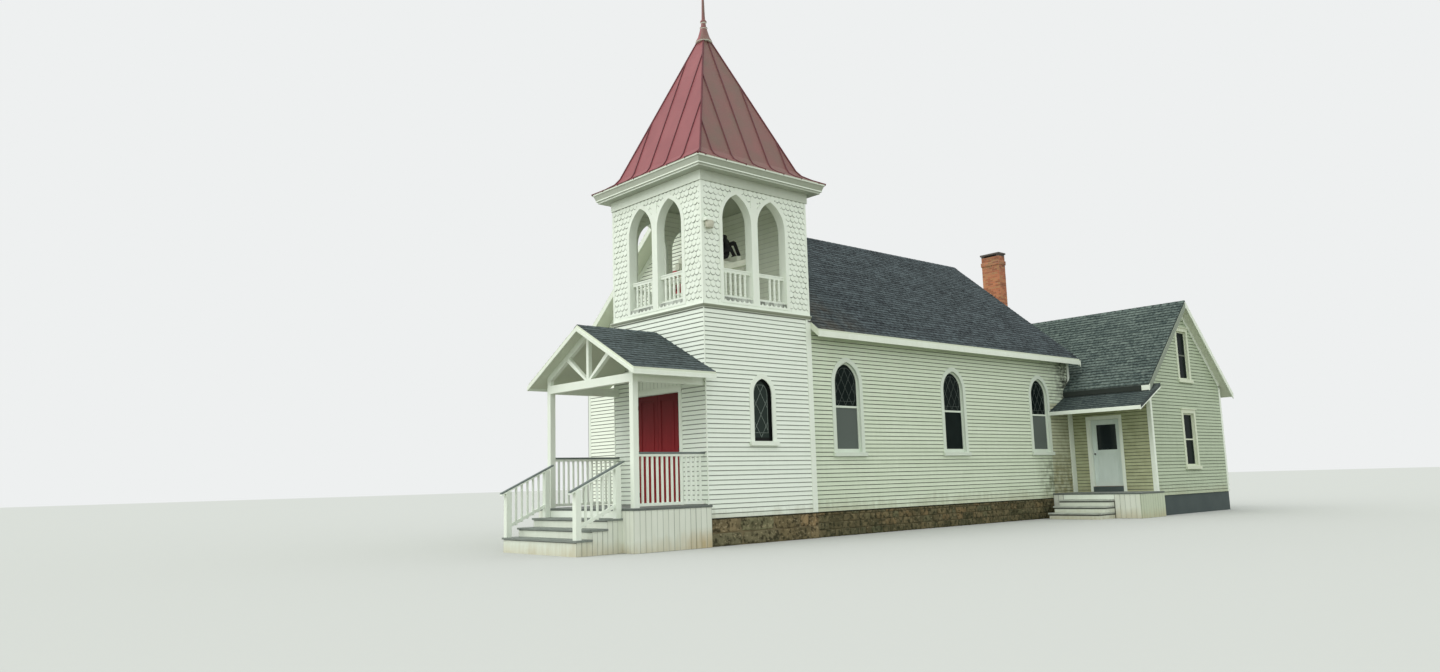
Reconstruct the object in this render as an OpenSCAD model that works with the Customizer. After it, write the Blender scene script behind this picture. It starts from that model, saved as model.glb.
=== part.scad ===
// Small timber chapel: corner entrance tower with an open belfry and a bell-cast spire,
// a gabled nave, a lower rear wing across its back, and a gabled front porch.
// Origin: middle of the tower's front wall at ground level. Front is -Y, height is +Z.

/* [Tower] */
// Width and depth of the square tower
tower_w = 3380; // [3100:10:3700]
// Thickness of the tower's walls
tower_t = 200; // [150:10:240]
// Top of the stone foundation, where the siding starts
base_z = 600; // [560:5:640]
// Underside of the belt moulding round the tower
belt_z = 5190; // [5050:10:5350]
// Height of the belt moulding
belt_h = 95; // [60:5:130]
// Gap left between the belfry's soffit and the nave's roof beside it
cornice_clear = 68; // [50:2:150]

/* [Belfry openings] */
// Width of each pointed opening
bel_w = 900; // [760:10:920]
// Width of the post between the two openings of a face
bel_post = 200; // [190:5:240]
// Sill of the openings
bel_sill_z = 5400; // [5380:5:5430]
// Distance from the springing of the pointed arches up to the soffit
bel_spring_drop = 1050; // [1000:10:1250]
// Rise of the pointed arches above the springing
bel_rise = 650; // [520:10:680]
// Height of the handrail in each opening, above the sill
bel_rail_h = 770; // [600:10:900]
// Height of their bottom rails above the sill
bel_rail_low = 95; // [30:5:120]
// Distance between their balusters
bel_pitch = 165; // [120:5:200]

/* [Spire] */
// How far the spire's eave stands out from the tower
spire_out = 380; // [320:10:440]
// Height of the spire above its eave
spire_h = 3875; // [3500:25:4200]
// Height of the finial above the spire
finial_h = 1960; // [1700:20:2200]

/* [Nave] */
// Width of the nave over its walls
nave_w = 8400; // [8000:20:8800]
// Distance from the tower's front to the nave's front wall
nave_front_y = 2660; // [2640:10:2800]
// Length of the nave over its walls
nave_len = 12820; // [12600:20:13200]
// How far the nave's side wall lies behind the tower's side wall
nave_inset = 66; // [40:2:90]
// Thickness of the nave's and rear wing's walls
wall_t = 150; // [130:5:170]
// Height of the nave's side walls at the outer face
nave_wall_z = 5050; // [4950:10:5100]
// Roof pitch of the nave in degrees
nave_pitch = 40.2; // [38:0.2:42]
// Thickness of the main roofs
roof_t = 140; // [110:5:160]
// Eave overhang of the nave's roof
nave_eave = 330; // [280:10:380]
// Overhang of the nave's front gable
nave_rake = 470; // [300:10:500]
// Overhang of the nave's rear gable
nave_back_rake = 160; // [120:10:200]

/* [Pointed windows] */
// Width of the nave's window openings
win_w = 960; // [860:10:1000]
// Bottom of the nave's window openings
win_z = 2000; // [1900:10:2100]
// Springing of the nave's windows
win_spring_z = 3700; // [3600:10:3750]
// Rise of the nave's windows
win_rise = 565; // [520:5:600]
// Distance between the nave's windows
win_pitch = 4440; // [4300:10:4500]
// Middle of the first nave window, from the nave's front wall
win_first = 2030; // [1900:10:2100]
// Height of the meeting rail above the window's bottom
meeting_h = 1130; // [1000:10:1250]
// Width of the boards cased round the openings
casing_w = 100; // [80:5:110]
// Width of the tower's lancet window
lancet_w = 620; // [560:10:680]
// Bottom of the lancet window
lancet_z = 2250; // [2150:10:2350]
// Springing of the lancet window
lancet_spring_z = 3330; // [3200:10:3400]
// Rise of the lancet window
lancet_rise = 370; // [320:5:400]

/* [Front doors] */
// Width of the front doorway
door_w = 1480; // [1400:10:1560]
// Top of the front doorway
door_top_z = 3390; // [3250:10:3500]
// Thickness of the front door leaves
leaf_t = 45; // [38:1:55]

/* [Rear wing] */
// How far the wing reaches past the nave's side wall
wing_out = 2558; // [2500:10:2700]
// Depth of the wing over its walls
wing_d = 5120; // [4900:20:5300]
// Height of the wing's walls at the outer face
wing_wall_z = 4150; // [4100:5:4250]
// Roof pitch of the wing in degrees
wing_pitch = 42.9; // [41:0.1:44]
// Eave overhang of the wing
wing_eave = 450; // [400:10:480]
// Gable overhang of the wing
wing_rake = 240; // [180:10:260]
// Width of the side door's opening
side_door_w = 950; // [900:10:1000]
// Distance from the nave's side wall to the side door's opening
side_door_x = 575; // [520:5:620]
// Top of the side door's opening
side_door_top_z = 2960; // [2900:10:3000]

/* [Pent roof and side deck] */
// How far the pent roof reaches in front of the wing
pent_d = 1380; // [1200:10:1450]
// Width of the pent roof
pent_w = 2940; // [2800:10:3000]
// Height of the pent roof's top face at its eave
pent_z = 3250; // [3200:5:3270]
// Pitch of the pent roof in degrees
pent_pitch = 26.5; // [24:0.1:27]
// Thickness of the pent roof
pent_t = 90; // [70:5:110]
// Depth of the side deck
deck_d = 1520; // [1400:10:1600]
// Width of the side deck
deck_w = 2768; // [2700:10:2900]
// Top of the side deck
deck_z = 730; // [700:5:760]
// Number of risers up to the side deck
deck_risers = 4; // [3:1:5]

/* [Porch] */
// Width of the porch deck
porch_w = 3630; // [3560:10:3800]
// Depth of the porch deck
porch_d = 2090; // [2050:10:2250]
// Top of the porch deck and of the floors
floor_z = 885; // [860:5:900]
// Side of the square porch posts
post_s = 130; // [110:5:150]
// Width over the porch posts
posts_w = 3292; // [3200:10:3400]
// Distance of the posts' front face from the tower
posts_y = 1937; // [1850:10:2000]
// Underside of the porch beams
beam_z = 3470; // [3420:10:3500]
// Height of the porch beams
beam_h = 180; // [150:5:200]
// Half width of the porch roof
porch_roof_half = 2040; // [1980:10:2100]
// Height of the porch ridge
porch_ridge_z = 4838; // [4780:5:4880]
// Roof pitch of the porch in degrees
porch_pitch = 28.7; // [27:0.1:30]
// Thickness of the porch roof
porch_roof_t = 80; // [60:5:100]
// Height of the rail caps above the deck
rail_h = 1135; // [950:5:1150]
// Distance between the balusters
baluster_pitch = 130; // [110:5:150]
// Side of the square balusters
baluster_s = 38; // [32:1:44]

/* [Stair] */
// Width over the stair's side boards
stair_w = 2820; // [2700:10:2900]
// Depth of each tread
tread_d = 370; // [330:5:390]
// Number of risers up to the porch
stair_risers = 4; // [3:1:5]
// Height from tread to tread; the lowest riser takes the rest
stair_rise = 190; // [175:5:220]
// Distance between the balusters of the stair railings
stair_pitch = 160; // [110:5:180]
// Side of the newel posts
newel_s = 125; // [120:5:150]

/* [Chimney] */
// Width of the chimney
chimney_w = 740; // [600:10:800]
// Depth of the chimney
chimney_d = 390; // [380:10:500]
// Top of the chimney's brickwork
chimney_z = 9440; // [9200:10:9600]
// Distance of the chimney's middle from the tower's middle
chimney_x = 2500; // [2300:10:2700]

/* [Bell] */
// Radius of the bell's mouth
bell_r = 360; // [330:5:370]
// Height of the bell
bell_h = 480; // [440:5:490]
// Height of the bell's swing axis
bell_axis_z = 7420; // [7400:5:7440]
// Distance of each iron stand from the bell's middle
stand_y = 500; // [490:5:540]

/* [Hidden] */
$fn = 64;

// Small shared sizes
clear = 5;
seat = 0.3;
board_t = 25;
skirt_in = 20;
floor_t = 150;
sill_up = 15;

// Tower and nave outlines
tower_x = tower_w / 2;
belt_top = belt_z + belt_h;
nave_x1 = tower_x - nave_inset;
nave_x0 = nave_x1 - nave_w;
nave_mid = nave_x1 - nave_w / 2;
// The soffit's edge just clears the nave's right slope, and sets the belfry's height
spire_half = tower_x + spire_out;
soffit_half = spire_half - 110;
belfry_top_z = nave_wall_z + upright(roof_t, nave_pitch)
    + rise(nave_x1 + soffit_half, nave_pitch) + cornice_clear;
bel_spring_z = belfry_top_z - bel_spring_drop;
nave_y0 = nave_front_y;
nave_y1 = nave_y0 + nave_len;
found_t = wall_t + 170;
found_in = 10;
found_out = 15;

// Rear wing outline
wing_x1 = nave_x1 + wing_out;
wing_x0 = nave_x0;
wing_y0 = nave_y1;
wing_y1 = wing_y0 + wing_d;
wing_mid = (wing_y0 + wing_y1) / 2;
side_door_x0 = nave_x1 + side_door_x;
side_door_x1 = side_door_x0 + side_door_w;

// Faces of the belfry: half pitch of a pair, and the pair's place on each face
pair_half = (bel_w + bel_post) / 2;
side_pair_y = tower_w / 2 - 85;
bell_y = tower_w / 2;

// Heights on the roofs: rise of a slope over a run, and thickness measured upright
function rise(run, pitch) = run * tan(pitch);
function upright(t, pitch) = t / cos(pitch);
nave_ridge_under = nave_wall_z + rise(nave_w / 2, nave_pitch);
wing_ridge_under = wing_wall_z + rise(wing_d / 2, wing_pitch);

// Radius of a pointed arch of width w and height h
function arch_r(w, h) = (h * h + w * w / 4) / w;

module block(a, b) {
    translate(a) cube(b - a);
}

// An outline drawn in X and Z, made t thick from y towards +Y
module across(y, t) {
    translate([0, y + t, 0]) rotate([90, 0, 0]) linear_extrude(t) children();
}

// An outline drawn in Y and Z, made t thick from x towards +X
module along(x, t) {
    translate([x, 0, 0]) rotate([90, 0, 90]) linear_extrude(t) children();
}

// Pointed outline about its own middle; grow widens it evenly on every side but the bottom
module pointed(w, bottom, spring, h, grow = 0) {
    r = arch_r(w, h);
    half = w / 2 + grow;
    translate([-half, bottom]) square([2 * half, spring - bottom]);
    translate([0, spring]) intersection() {
        translate([w / 2 - r, 0]) circle(r + grow);
        translate([r - w / 2, 0]) circle(r + grow);
        translate([-half, 0]) square([2 * half, 2 * r]);
    }
}

module nave_window(bottom = win_z, grow = 0) {
    pointed(win_w, bottom, win_spring_z, win_rise, grow);
}

module lancet(bottom = lancet_z, grow = 0) {
    pointed(lancet_w, bottom, lancet_spring_z, lancet_rise, grow);
}

module rect_window(w, z0, z1, grow = 0) {
    translate([-w / 2 - grow, z0 - grow]) square([w + 2 * grow, z1 - z0 + 2 * grow]);
}

// The two window rows of the rear wing's gables
low_w = 800;
low_z0 = 1450;
low_z1 = 3130;
high_w = 720;
high_z0 = 4180;
high_z1 = 5760;
wing_back_windows = [wing_x0 + 0.3 * (wing_x1 - wing_x0), wing_x0 + 0.75 * (wing_x1 - wing_x0)];
nave_windows = [for (i = [0:2]) nave_y0 + win_first + i * win_pitch];

module nave_window_row(grow = 0, bottom = win_z) {
    for (y = nave_windows) translate([y, 0]) nave_window(bottom, grow);
}

// Foundations

module ring(a, b, t, z) {
    difference() {
        block([a[0], a[1], 0], [b[0], b[1], z]);
        block([a[0] + t, a[1] + t, -1], [b[0] - t, b[1] - t, z + 1]);
    }
}

module stone_foundation() {
    color("#8c8478") {
        ring([-tower_x - found_out, -found_out], [tower_x + found_out, tower_w], found_t, base_z);
        ring([nave_x0 - found_out, nave_y0 - found_out], [nave_x1 + found_out, nave_y1], found_t, base_z);
    }
}

module wing_foundation() {
    x0 = wing_x0 + found_in;
    x1 = wing_x1 - found_in;
    y1 = wing_y1 - found_in;
    front_y = wing_y0 + found_in;
    color("#54585a") {
        block([x0, wing_y0, 0], [x0 + found_t, y1, base_z]);
        block([x1 - found_t, front_y, 0], [x1, y1, base_z]);
        block([x0, y1 - found_t, 0], [x1, y1, base_z]);
        block([nave_x1, front_y, 0], [x1, front_y + found_t, base_z]);
    }
}

// Floors

module nave_floor() {
    z0 = floor_z - floor_t;
    back = tower_w - tower_t;
    color("#9b7a54") {
        block([nave_x0 + wall_t, nave_y0 + wall_t, z0], [-tower_x, nave_y1 - wall_t, floor_z]);
        block([-tower_x - 1, tower_w, z0], [nave_x1 - wall_t, nave_y1 - wall_t, floor_z]);
        block([-door_w / 2, back - 1, z0], [door_w / 2, tower_w + 1, floor_z]);
        block([-tower_x + tower_t, tower_t, z0], [tower_x - tower_t, back, floor_z]);
        block([-door_w / 2, 0, base_z], [door_w / 2, tower_t, floor_z + sill_up]);
    }
}

module wing_floor() {
    z0 = floor_z - floor_t;
    color("#9b7a54") difference() {
        union() {
            block([wing_x0 + wall_t, wing_y0, z0], [nave_x1, wing_y1 - wall_t, floor_z]);
            block([nave_x1, wing_y0 + wall_t, z0], [wing_x1 - wall_t, wing_y1 - wall_t, floor_z]);
            block([side_door_x0, wing_y0, base_z], [side_door_x1, wing_y0 + wall_t, floor_z + sill_up]);
        }
        chimney_shaft(0, chimney_z);
    }
}

// Tower walls below the belt

module tower_front_side(s) {
    x0 = s > 0 ? door_w / 2 : -tower_x;
    x1 = s > 0 ? tower_x : -door_w / 2;
    color("white") block([x0, 0, base_z], [x1, tower_t, belt_top]);
}

module tower_front_wall_left() {
    tower_front_side(-1);
}

module tower_front_wall_right() {
    tower_front_side(1);
}

module tower_front_wall_head() {
    color("white") block([-door_w / 2, 0, door_top_z], [door_w / 2, tower_t, belt_top]);
}

module tower_side_wall(x) {
    color("white") difference() {
        block([x, tower_t, base_z], [x + tower_t, tower_w - tower_t, belt_top]);
        along(x - 1, tower_t + 2) translate([tower_w / 2, 0]) lancet();
    }
}

module tower_right_wall() {
    tower_side_wall(tower_x - tower_t);
}

module tower_left_wall() {
    tower_side_wall(-tower_x);
}

module tower_back_wall() {
    color("white") difference() {
        block([-tower_x, tower_w - tower_t, base_z], [tower_x, tower_w, belfry_top_z]);
        block([-door_w / 2, 0, floor_z - floor_t], [door_w / 2, tower_w + 1, door_top_z]);
    }
}

// Moulded belt round the three outer sides; on the left it stops at the nave's front wall
module tower_belt() {
    profile = [[0, 0], [35, 0], [35, 0.25 * belt_h], [60, 0.45 * belt_h], [75, 0.8 * belt_h],
        [75, belt_h - 12], [0, belt_h]];
    color("white") {
        difference() {
            union() {
                translate([-tower_x, 0, belt_z]) belt_run(profile, tower_w);
                translate([tower_x, 0, belt_z]) rotate([0, 0, 90]) belt_run(profile, tower_w);
                translate([-tower_x, nave_y0, belt_z]) rotate([0, 0, -90]) belt_run(profile, nave_y0);
            }
            block([-tower_x, 0, belt_z - 1], [tower_x, tower_w + 100, belt_top + 1]);
            block([-tower_x - 100, nave_y0, belt_z - 1], [-tower_x, tower_w, belt_top + 1]);
            block([tower_x, tower_w, belt_z - 1], [tower_x + 100, tower_w + 100, belt_top + 1]);
        }
        for (s = [-1, 1]) mirror([s < 0 ? 1 : 0, 0, 0]) belt_corner(profile);
    }
}

// A straight length along +X that stands out towards -Y
module belt_run(profile, length) {
    rotate([90, 0, 90]) linear_extrude(length) mirror([1, 0]) polygon(profile);
}

// The mitred corner at the front right edge, made by crossing the two runs
module belt_corner(profile) {
    intersection() {
        translate([tower_x - 1, 0, belt_z]) belt_run(profile, 101);
        translate([tower_x, -100, belt_z]) rotate([0, 0, 90]) belt_run(profile, 101);
    }
}

// Belfry

module belfry_floor() {
    inner = tower_x - tower_t;
    color("#b8b2a6") block([-inner, tower_t, belt_top], [inner, tower_w - tower_t, belt_top + 40]);
}

module pair(grow = 0) {
    for (s = [-1, 1]) translate([s * pair_half, 0])
        pointed(bel_w, bel_sill_z - grow / 2, bel_spring_z, bel_rise, grow);
}

// Casings round a pair of openings, standing out towards -Y from y = 0
module belfry_casings() {
    across(-board_t, board_t) difference() {
        union() {
            pair(casing_w);
            translate([-bel_post / 2, bel_sill_z]) square([bel_post, bel_spring_z + bel_rise - bel_sill_z]);
        }
        pair();
    }
}

module belfry_front_wall() {
    color("white") {
        difference() {
            block([-tower_x, 0, belt_top], [tower_x, tower_t, belfry_top_z]);
            across(-1, tower_t + 2) pair();
        }
        belfry_casings();
    }
}

module belfry_side_wall() {
    color("white") {
        difference() {
            block([tower_x - tower_t, tower_t, belt_top], [tower_x, tower_w - tower_t, belfry_top_z]);
            along(tower_x - tower_t - 1, tower_t + 2) translate([side_pair_y, 0]) pair();
        }
        translate([tower_x, side_pair_y, 0]) rotate([0, 0, 90]) belfry_casings();
    }
}

module belfry_right_wall() {
    belfry_side_wall();
}

// On the left the nave's roof and front wall meet the tower, so the casings stop at them
module belfry_left_wall() {
    roof_z = nave_ridge_under - rise(-tower_x - nave_mid, nave_pitch) - rake_hang - seat;
    color("white") difference() {
        mirror([1, 0, 0]) belfry_side_wall();
        block([-tower_x - 100, nave_y0 - seat, belt_z], [-tower_x, tower_w, belfry_top_z]);
        block([-tower_x - 100, nave_y0 - nave_rake - board_t - seat, roof_z],
            [-tower_x, tower_w, belfry_top_z]);
    }
}

// A railing panel along +X from 0 to length, its base at z = 0; gone counts missing balusters
module rail_panel(length, h, cap_w, low, pitch, gone = 0) {
    rail = 60;
    n = floor((length - baluster_s) / pitch);
    gap = length / (n + 1);
    translate([0, -rail / 2, low]) cube([length, rail, rail]);
    translate([0, -rail / 2, h - 90]) cube([length, rail, 60]);
    translate([0, -cap_w / 2, h - 30]) cube([length, cap_w, 30]);
    for (i = [1 + gone:n]) translate([i * gap - baluster_s / 2, -baluster_s / 2, low + rail - 1])
        cube([baluster_s, baluster_s, h - 90 - low - rail + 2]);
}

module belfry_pair_rails(gone = 0) {
    for (s = [-1, 1]) translate([s * pair_half - bel_w / 2, 0, bel_sill_z])
        rail_panel(bel_w, bel_rail_h, 80, bel_rail_low, bel_pitch, s > 0 ? gone : 0);
}

// Two balusters are missing in the right-hand side's rear opening, as in the photograph
module belfry_railings() {
    in = tower_t / 2;
    color("white") {
        translate([0, in, 0]) belfry_pair_rails();
        translate([in - tower_x, side_pair_y, 0]) rotate([0, 0, 90]) belfry_pair_rails();
        translate([tower_x - in, side_pair_y, 0]) rotate([0, 0, 90]) belfry_pair_rails(2);
    }
}

// Cornice: a frieze, then a soffit that also closes the belfry's top, and a crown that flares out
frieze_h = 230;
soffit_t = 45;
crown_z = belfry_top_z + soffit_t;
crown_h = 185;
spire_z = crown_z + crown_h;

module square_ring(outer, inner, h) {
    linear_extrude(h) difference() {
        square(2 * outer, center = true);
        square(2 * inner, center = true);
    }
}

module belfry_frieze() {
    color("white") translate([0, tower_w / 2, belfry_top_z - frieze_h])
        square_ring(tower_x + board_t + 10, tower_x, frieze_h);
}

module belfry_cornice() {
    color("white") translate([0, tower_w / 2, 0]) {
        translate([0, 0, belfry_top_z]) linear_extrude(soffit_t) square(2 * soffit_half, center = true);
        translate([0, 0, crown_z]) difference() {
            linear_extrude(crown_h, scale = (spire_half - 20) / (spire_half - 90))
                square(2 * (spire_half - 90), center = true);
            translate([0, 0, -1]) linear_extrude(crown_h + 2) square(2 * (spire_half - 260), center = true);
        }
    }
}

// Spire: a square shell, given by half widths and heights above its eave
cap_half = 130;
spire_steps = [[spire_half, 0], [spire_half - 240, 120], [spire_half - 420, 240],
    [spire_half - 515, 373], [cap_half, spire_h]];

module spire_roof() {
    shell = 60;
    inner = [for (p = spire_steps) [p[0] - 1.3 * shell, max(p[1] - shell, 0)]];
    last = len(spire_steps) - 1;
    outline = concat(spire_steps, [[0, spire_h], [0, spire_h - shell]], [for (i = [last:-1:0]) inner[i]]);
    color("#8e3434") translate([0, tower_w / 2, spire_z]) rotate([0, 0, 45])
        rotate_extrude($fn = 4) polygon([for (p = outline) [p[0] * sqrt(2), p[1]]]);
}

// Finial: conical cap, neck, collar, ball and a tapering rod that ends in a point
module finial() {
    z = spire_z + spire_h + seat;
    color("#7c2f30") translate([0, tower_w / 2, z]) rotate_extrude() polygon([
        [0, 0], [200, 0], [215, 18], [205, 40], [150, 150], [105, 300], [88, 370],
        [98, 385], [98, 405], [70, 430], [58, 520], [80, 545], [84, 575], [70, 600],
        [46, 625], [38, 0.45 * finial_h], [24, 0.75 * finial_h], [0, finial_h]]);
}

// Bell, hung between two iron stands on timber beams

beam_s = 140;
beam_over = 200;
stand_foot_z = 6850;
stand_foot_x = 420;
cross_half = stand_foot_x + 100;
pin_r = 25;
stand_w = 60;

// A girder between the posts of the side openings, two sleepers on it and a cross beam for each stand
module bell_beams() {
    girder_z = 6380;
    sleeper_z = girder_z + beam_s;
    cross_z = sleeper_z + beam_s + 20;
    inner = tower_x - tower_t;
    color("#c9b795") {
        block([-inner, side_pair_y - beam_s / 2, girder_z], [inner, side_pair_y + beam_s / 2, sleeper_z]);
        for (s = [-1, 1]) {
            translate([s * stand_foot_x - beam_s / 2, bell_y - stand_y - beam_over, sleeper_z - 1])
                cube([beam_s, 2 * (stand_y + beam_over), cross_z - sleeper_z + 2]);
            translate([-cross_half, bell_y + s * stand_y - beam_s / 2, cross_z])
                cube([2 * cross_half, beam_s, stand_foot_z - cross_z]);
        }
    }
}

module bell_stand() {
    foot_x = stand_foot_x;
    head = 75;
    difference() {
        union() {
            across(-stand_w / 2, stand_w) {
                for (s = [-1, 1]) polygon([[s * foot_x, stand_foot_z], [s * (foot_x - 80), stand_foot_z],
                    [0, bell_axis_z - 60], [s * 60, bell_axis_z]]);
                translate([-foot_x * 0.6, stand_foot_z + 190]) square([foot_x * 1.2, 50]);
            }
            translate([0, 0, bell_axis_z]) rotate([90, 0, 0])
                cylinder(r = head, h = stand_w, center = true);
            for (s = [-1, 1]) translate([s * (foot_x - 40) - 70, -stand_w, stand_foot_z])
                cube([140, 2 * stand_w, 30]);
        }
        translate([0, 0, bell_axis_z]) rotate([90, 0, 0])
            cylinder(r = pin_r + 0.4, h = stand_w + 2, center = true);
    }
}

module bell_stands() {
    color("#26282a") for (s = [-1, 1]) translate([0, bell_y + s * stand_y, 0]) bell_stand();
}

module bell() {
    top = bell_axis_z - 40;
    mouth = top - bell_h;
    wall = 32;
    reach = stand_y + stand_w / 2 + 20;
    outer = [[bell_r, 0], [bell_r - 18, 40], [0.78 * bell_r, 0.28 * bell_h], [0.62 * bell_r, 0.6 * bell_h],
        [0.54 * bell_r, 0.84 * bell_h], [0.4 * bell_r, 0.95 * bell_h], [0, bell_h]];
    inner = [for (p = outer) [max(p[0] - wall, 0), p[1] - (p[0] < 0.5 * bell_r ? wall : 0)]];
    color("#202224") translate([0, bell_y, 0]) {
        translate([0, 0, mouth]) rotate_extrude() polygon(concat(outer, [for (i = [6:-1:0]) inner[i]]));
        translate([0, 0, top + 30]) cube([110, 2 * (stand_y - stand_w / 2 - 12), 100], center = true);
        translate([0, 0, top - 20]) cube([90, 260, 60], center = true);
        translate([0, 0, bell_axis_z]) rotate([90, 0, 0]) cylinder(r = pin_r, h = 2 * reach, center = true);
        translate([0, 0, mouth + 60]) cylinder(r = 16, h = bell_h - 90);
        translate([0, 0, mouth + 70]) sphere(r = 62);
    }
}

// Nave walls

module gable_outline(mid, half, wall_z, pitch) {
    polygon([[mid - half, base_z], [mid + half, base_z], [mid + half, wall_z],
        [mid, wall_z + rise(half, pitch)], [mid - half, wall_z]]);
}

vent_w = 480;
vent_h = 640;
vent_z = 6450;

module nave_front_wall() {
    color("white") difference() {
        across(nave_y0, wall_t) intersection() {
            gable_outline(nave_mid, nave_w / 2, nave_wall_z, nave_pitch);
            translate([nave_x0, 0]) square([-tower_x - nave_x0, nave_ridge_under + 1]);
        }
        block([nave_mid - vent_w / 2, nave_y0 - 1, vent_z],
            [nave_mid + vent_w / 2, nave_y0 + wall_t + 1, vent_z + vent_h]);
    }
}

// Side wall with its three windows; its top follows the underside of the roof
module nave_side_wall(y0) {
    color("white") difference() {
        across(y0, nave_y1 - wall_t - y0) polygon([[nave_x1, base_z], [nave_x1, nave_wall_z],
            [nave_x1 - wall_t, nave_wall_z + rise(wall_t, nave_pitch)], [nave_x1 - wall_t, base_z]]);
        along(nave_x1 - wall_t - 1, wall_t + 2) nave_window_row();
    }
}

module mirror_nave() {
    translate([2 * nave_mid, 0, 0]) mirror([1, 0, 0]) children();
}

module nave_right_wall() {
    nave_side_wall(tower_w);
}

module nave_left_wall() {
    mirror_nave() nave_side_wall(nave_y0 + wall_t);
}

module nave_back_wall() {
    color("white") across(nave_y1 - wall_t, wall_t)
        gable_outline(nave_mid, nave_w / 2, nave_wall_z, nave_pitch);
}

// Roofs

// Half of a gable roof in section, from the ridge outwards
module slope_section(half, out, under, pitch, t) {
    drop = rise(half + out, pitch);
    up = upright(t, pitch);
    polygon([[0, under], [0, under + up], [half + out, under - drop + up], [half + out, under - drop]]);
}

module nave_slope() {
    translate([nave_mid, 0, 0]) across(nave_y0 - nave_rake, nave_len + nave_rake + nave_back_rake)
        slope_section(nave_w / 2, nave_eave, nave_ridge_under, nave_pitch, roof_t);
}

module nave_roof_right() {
    color("#4a4a4c") difference() {
        nave_slope();
        block([-tower_x, 0, base_z], [nave_x1 + 2 * nave_eave, tower_w, 2 * nave_ridge_under]);
    }
}

module nave_roof_left() {
    color("#4a4a4c") mirror_nave() nave_slope();
}

// Louvred vent in the nave's front gable
module gable_vent() {
    x0 = nave_mid - vent_w / 2;
    x1 = nave_mid + vent_w / 2;
    frame = 50;
    slats = 7;
    pitch = (vent_h - 2 * frame) / slats;
    color("#a32626") {
        difference() {
            block([x0, nave_y0 - board_t, vent_z], [x1, nave_y0 + 80, vent_z + vent_h]);
            block([x0 + frame, nave_y0 - 50, vent_z + frame],
                [x1 - frame, nave_y0 + 60, vent_z + vent_h - frame]);
        }
        block([nave_mid - 25, nave_y0 - board_t, vent_z + frame - 1],
            [nave_mid + 25, nave_y0 + 61, vent_z + vent_h - frame + 1]);
        for (i = [0:slats - 1]) along(x0 + frame - 1, vent_w - 2 * frame + 2)
            translate([nave_y0, vent_z + frame + i * pitch])
                polygon([[-5, 14], [7, 6], [61, 48], [61, 60]]);
    }
}

rake_hang = 45;
rake_lip = 50;

// Rake board in section: follows the slope, hangs below it and stops short of its top
module rake_section(half, out, under, pitch, t) {
    hang = rake_hang;
    lip = rake_lip;
    drop = rise(half + out, pitch);
    up = upright(t, pitch);
    polygon([[0, under - hang], [0, under + up - lip], [half + out, under - drop + up - lip],
        [half + out, under - drop - hang]]);
}

module rake_pair(y, half, out, under, pitch, t) {
    for (m = [0, 1]) mirror([m, 0, 0]) across(y, board_t) rake_section(half, out, under, pitch, t);
}

// Fascia along an eave, on the side x = e of a roof section
module fascia(half, out, under, pitch, t, y0, y1) {
    e = half + out;
    z = under - rise(e, pitch);
    block([e, y0, z - 8], [e + board_t, y1, z + upright(t, pitch) - rake_lip]);
}

module nave_edge_boards() {
    front = nave_y0 - nave_rake - board_t;
    back = nave_y1 + nave_back_rake;
    translate([nave_mid, 0, 0]) {
        difference() {
            rake_pair(front, nave_w / 2, nave_eave + board_t, nave_ridge_under, nave_pitch, roof_t);
            block([-tower_x - nave_mid, front - 1, base_z], [nave_w, front + 100, nave_ridge_under + 500]);
        }
        rake_pair(back, nave_w / 2, nave_eave + board_t, nave_ridge_under, nave_pitch, roof_t);
        fascia(nave_w / 2, nave_eave, nave_ridge_under, nave_pitch, roof_t, tower_w, back + board_t);
        mirror([1, 0, 0])
            fascia(nave_w / 2, nave_eave, nave_ridge_under, nave_pitch, roof_t, front, back + board_t);
    }
}

// Turns a section about Y into one about X, for the wing, whose ridge runs along X
module turned() {
    translate([0, wing_mid, 0]) rotate([0, 0, 90]) children();
}

module wing_fascia(x0, x1) {
    fascia(wing_d / 2, wing_eave, wing_ridge_under, wing_pitch, roof_t, x0, x1);
}

module wing_rake(x) {
    rake_pair(x, wing_d / 2, wing_eave + board_t, wing_ridge_under, wing_pitch, roof_t);
}

module wing_edge_boards() {
    x0 = wing_x0 - wing_rake;
    x1 = wing_x1 + wing_rake;
    difference() {
        union() {
            turned() {
                wing_rake(-x1 - board_t);
                wing_rake(-x0);
                wing_fascia(-x1 - board_t, -x0 + board_t);
            }
            turned() mirror([1, 0, 0]) wing_fascia(-x1 - board_t, -nave_x1);
        }
        block([x0 - 100, wing_y0 - 2 * wing_eave, 0], [nave_x1, wing_y0, wing_ridge_under]);
        along(nave_x1, 2 * wing_out) pent_section(clear);
    }
}

module porch_edge_boards() {
    y0 = -porch_roof_d - board_t;
    rake_pair(y0, 0, porch_roof_half + board_t, porch_under, porch_pitch, porch_roof_t);
    for (m = [0, 1]) mirror([m, 0, 0])
        fascia(0, porch_roof_half, porch_under, porch_pitch, porch_roof_t, y0, 0);
}

module roof_edge_boards() {
    color("white") {
        nave_edge_boards();
        wing_edge_boards();
        porch_edge_boards();
    }
}

// Rear wing

module wing_front_wall_left() {
    color("white") block([nave_x1, wing_y0, base_z], [side_door_x0, wing_y0 + wall_t, wing_wall_z]);
}

module wing_front_wall_right() {
    color("white")
        block([side_door_x1, wing_y0, base_z], [wing_x1 - wall_t, wing_y0 + wall_t, wing_wall_z]);
}

module wing_front_wall_head() {
    color("white")
        block([side_door_x0, wing_y0, side_door_top_z], [side_door_x1, wing_y0 + wall_t, wing_wall_z]);
}

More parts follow.
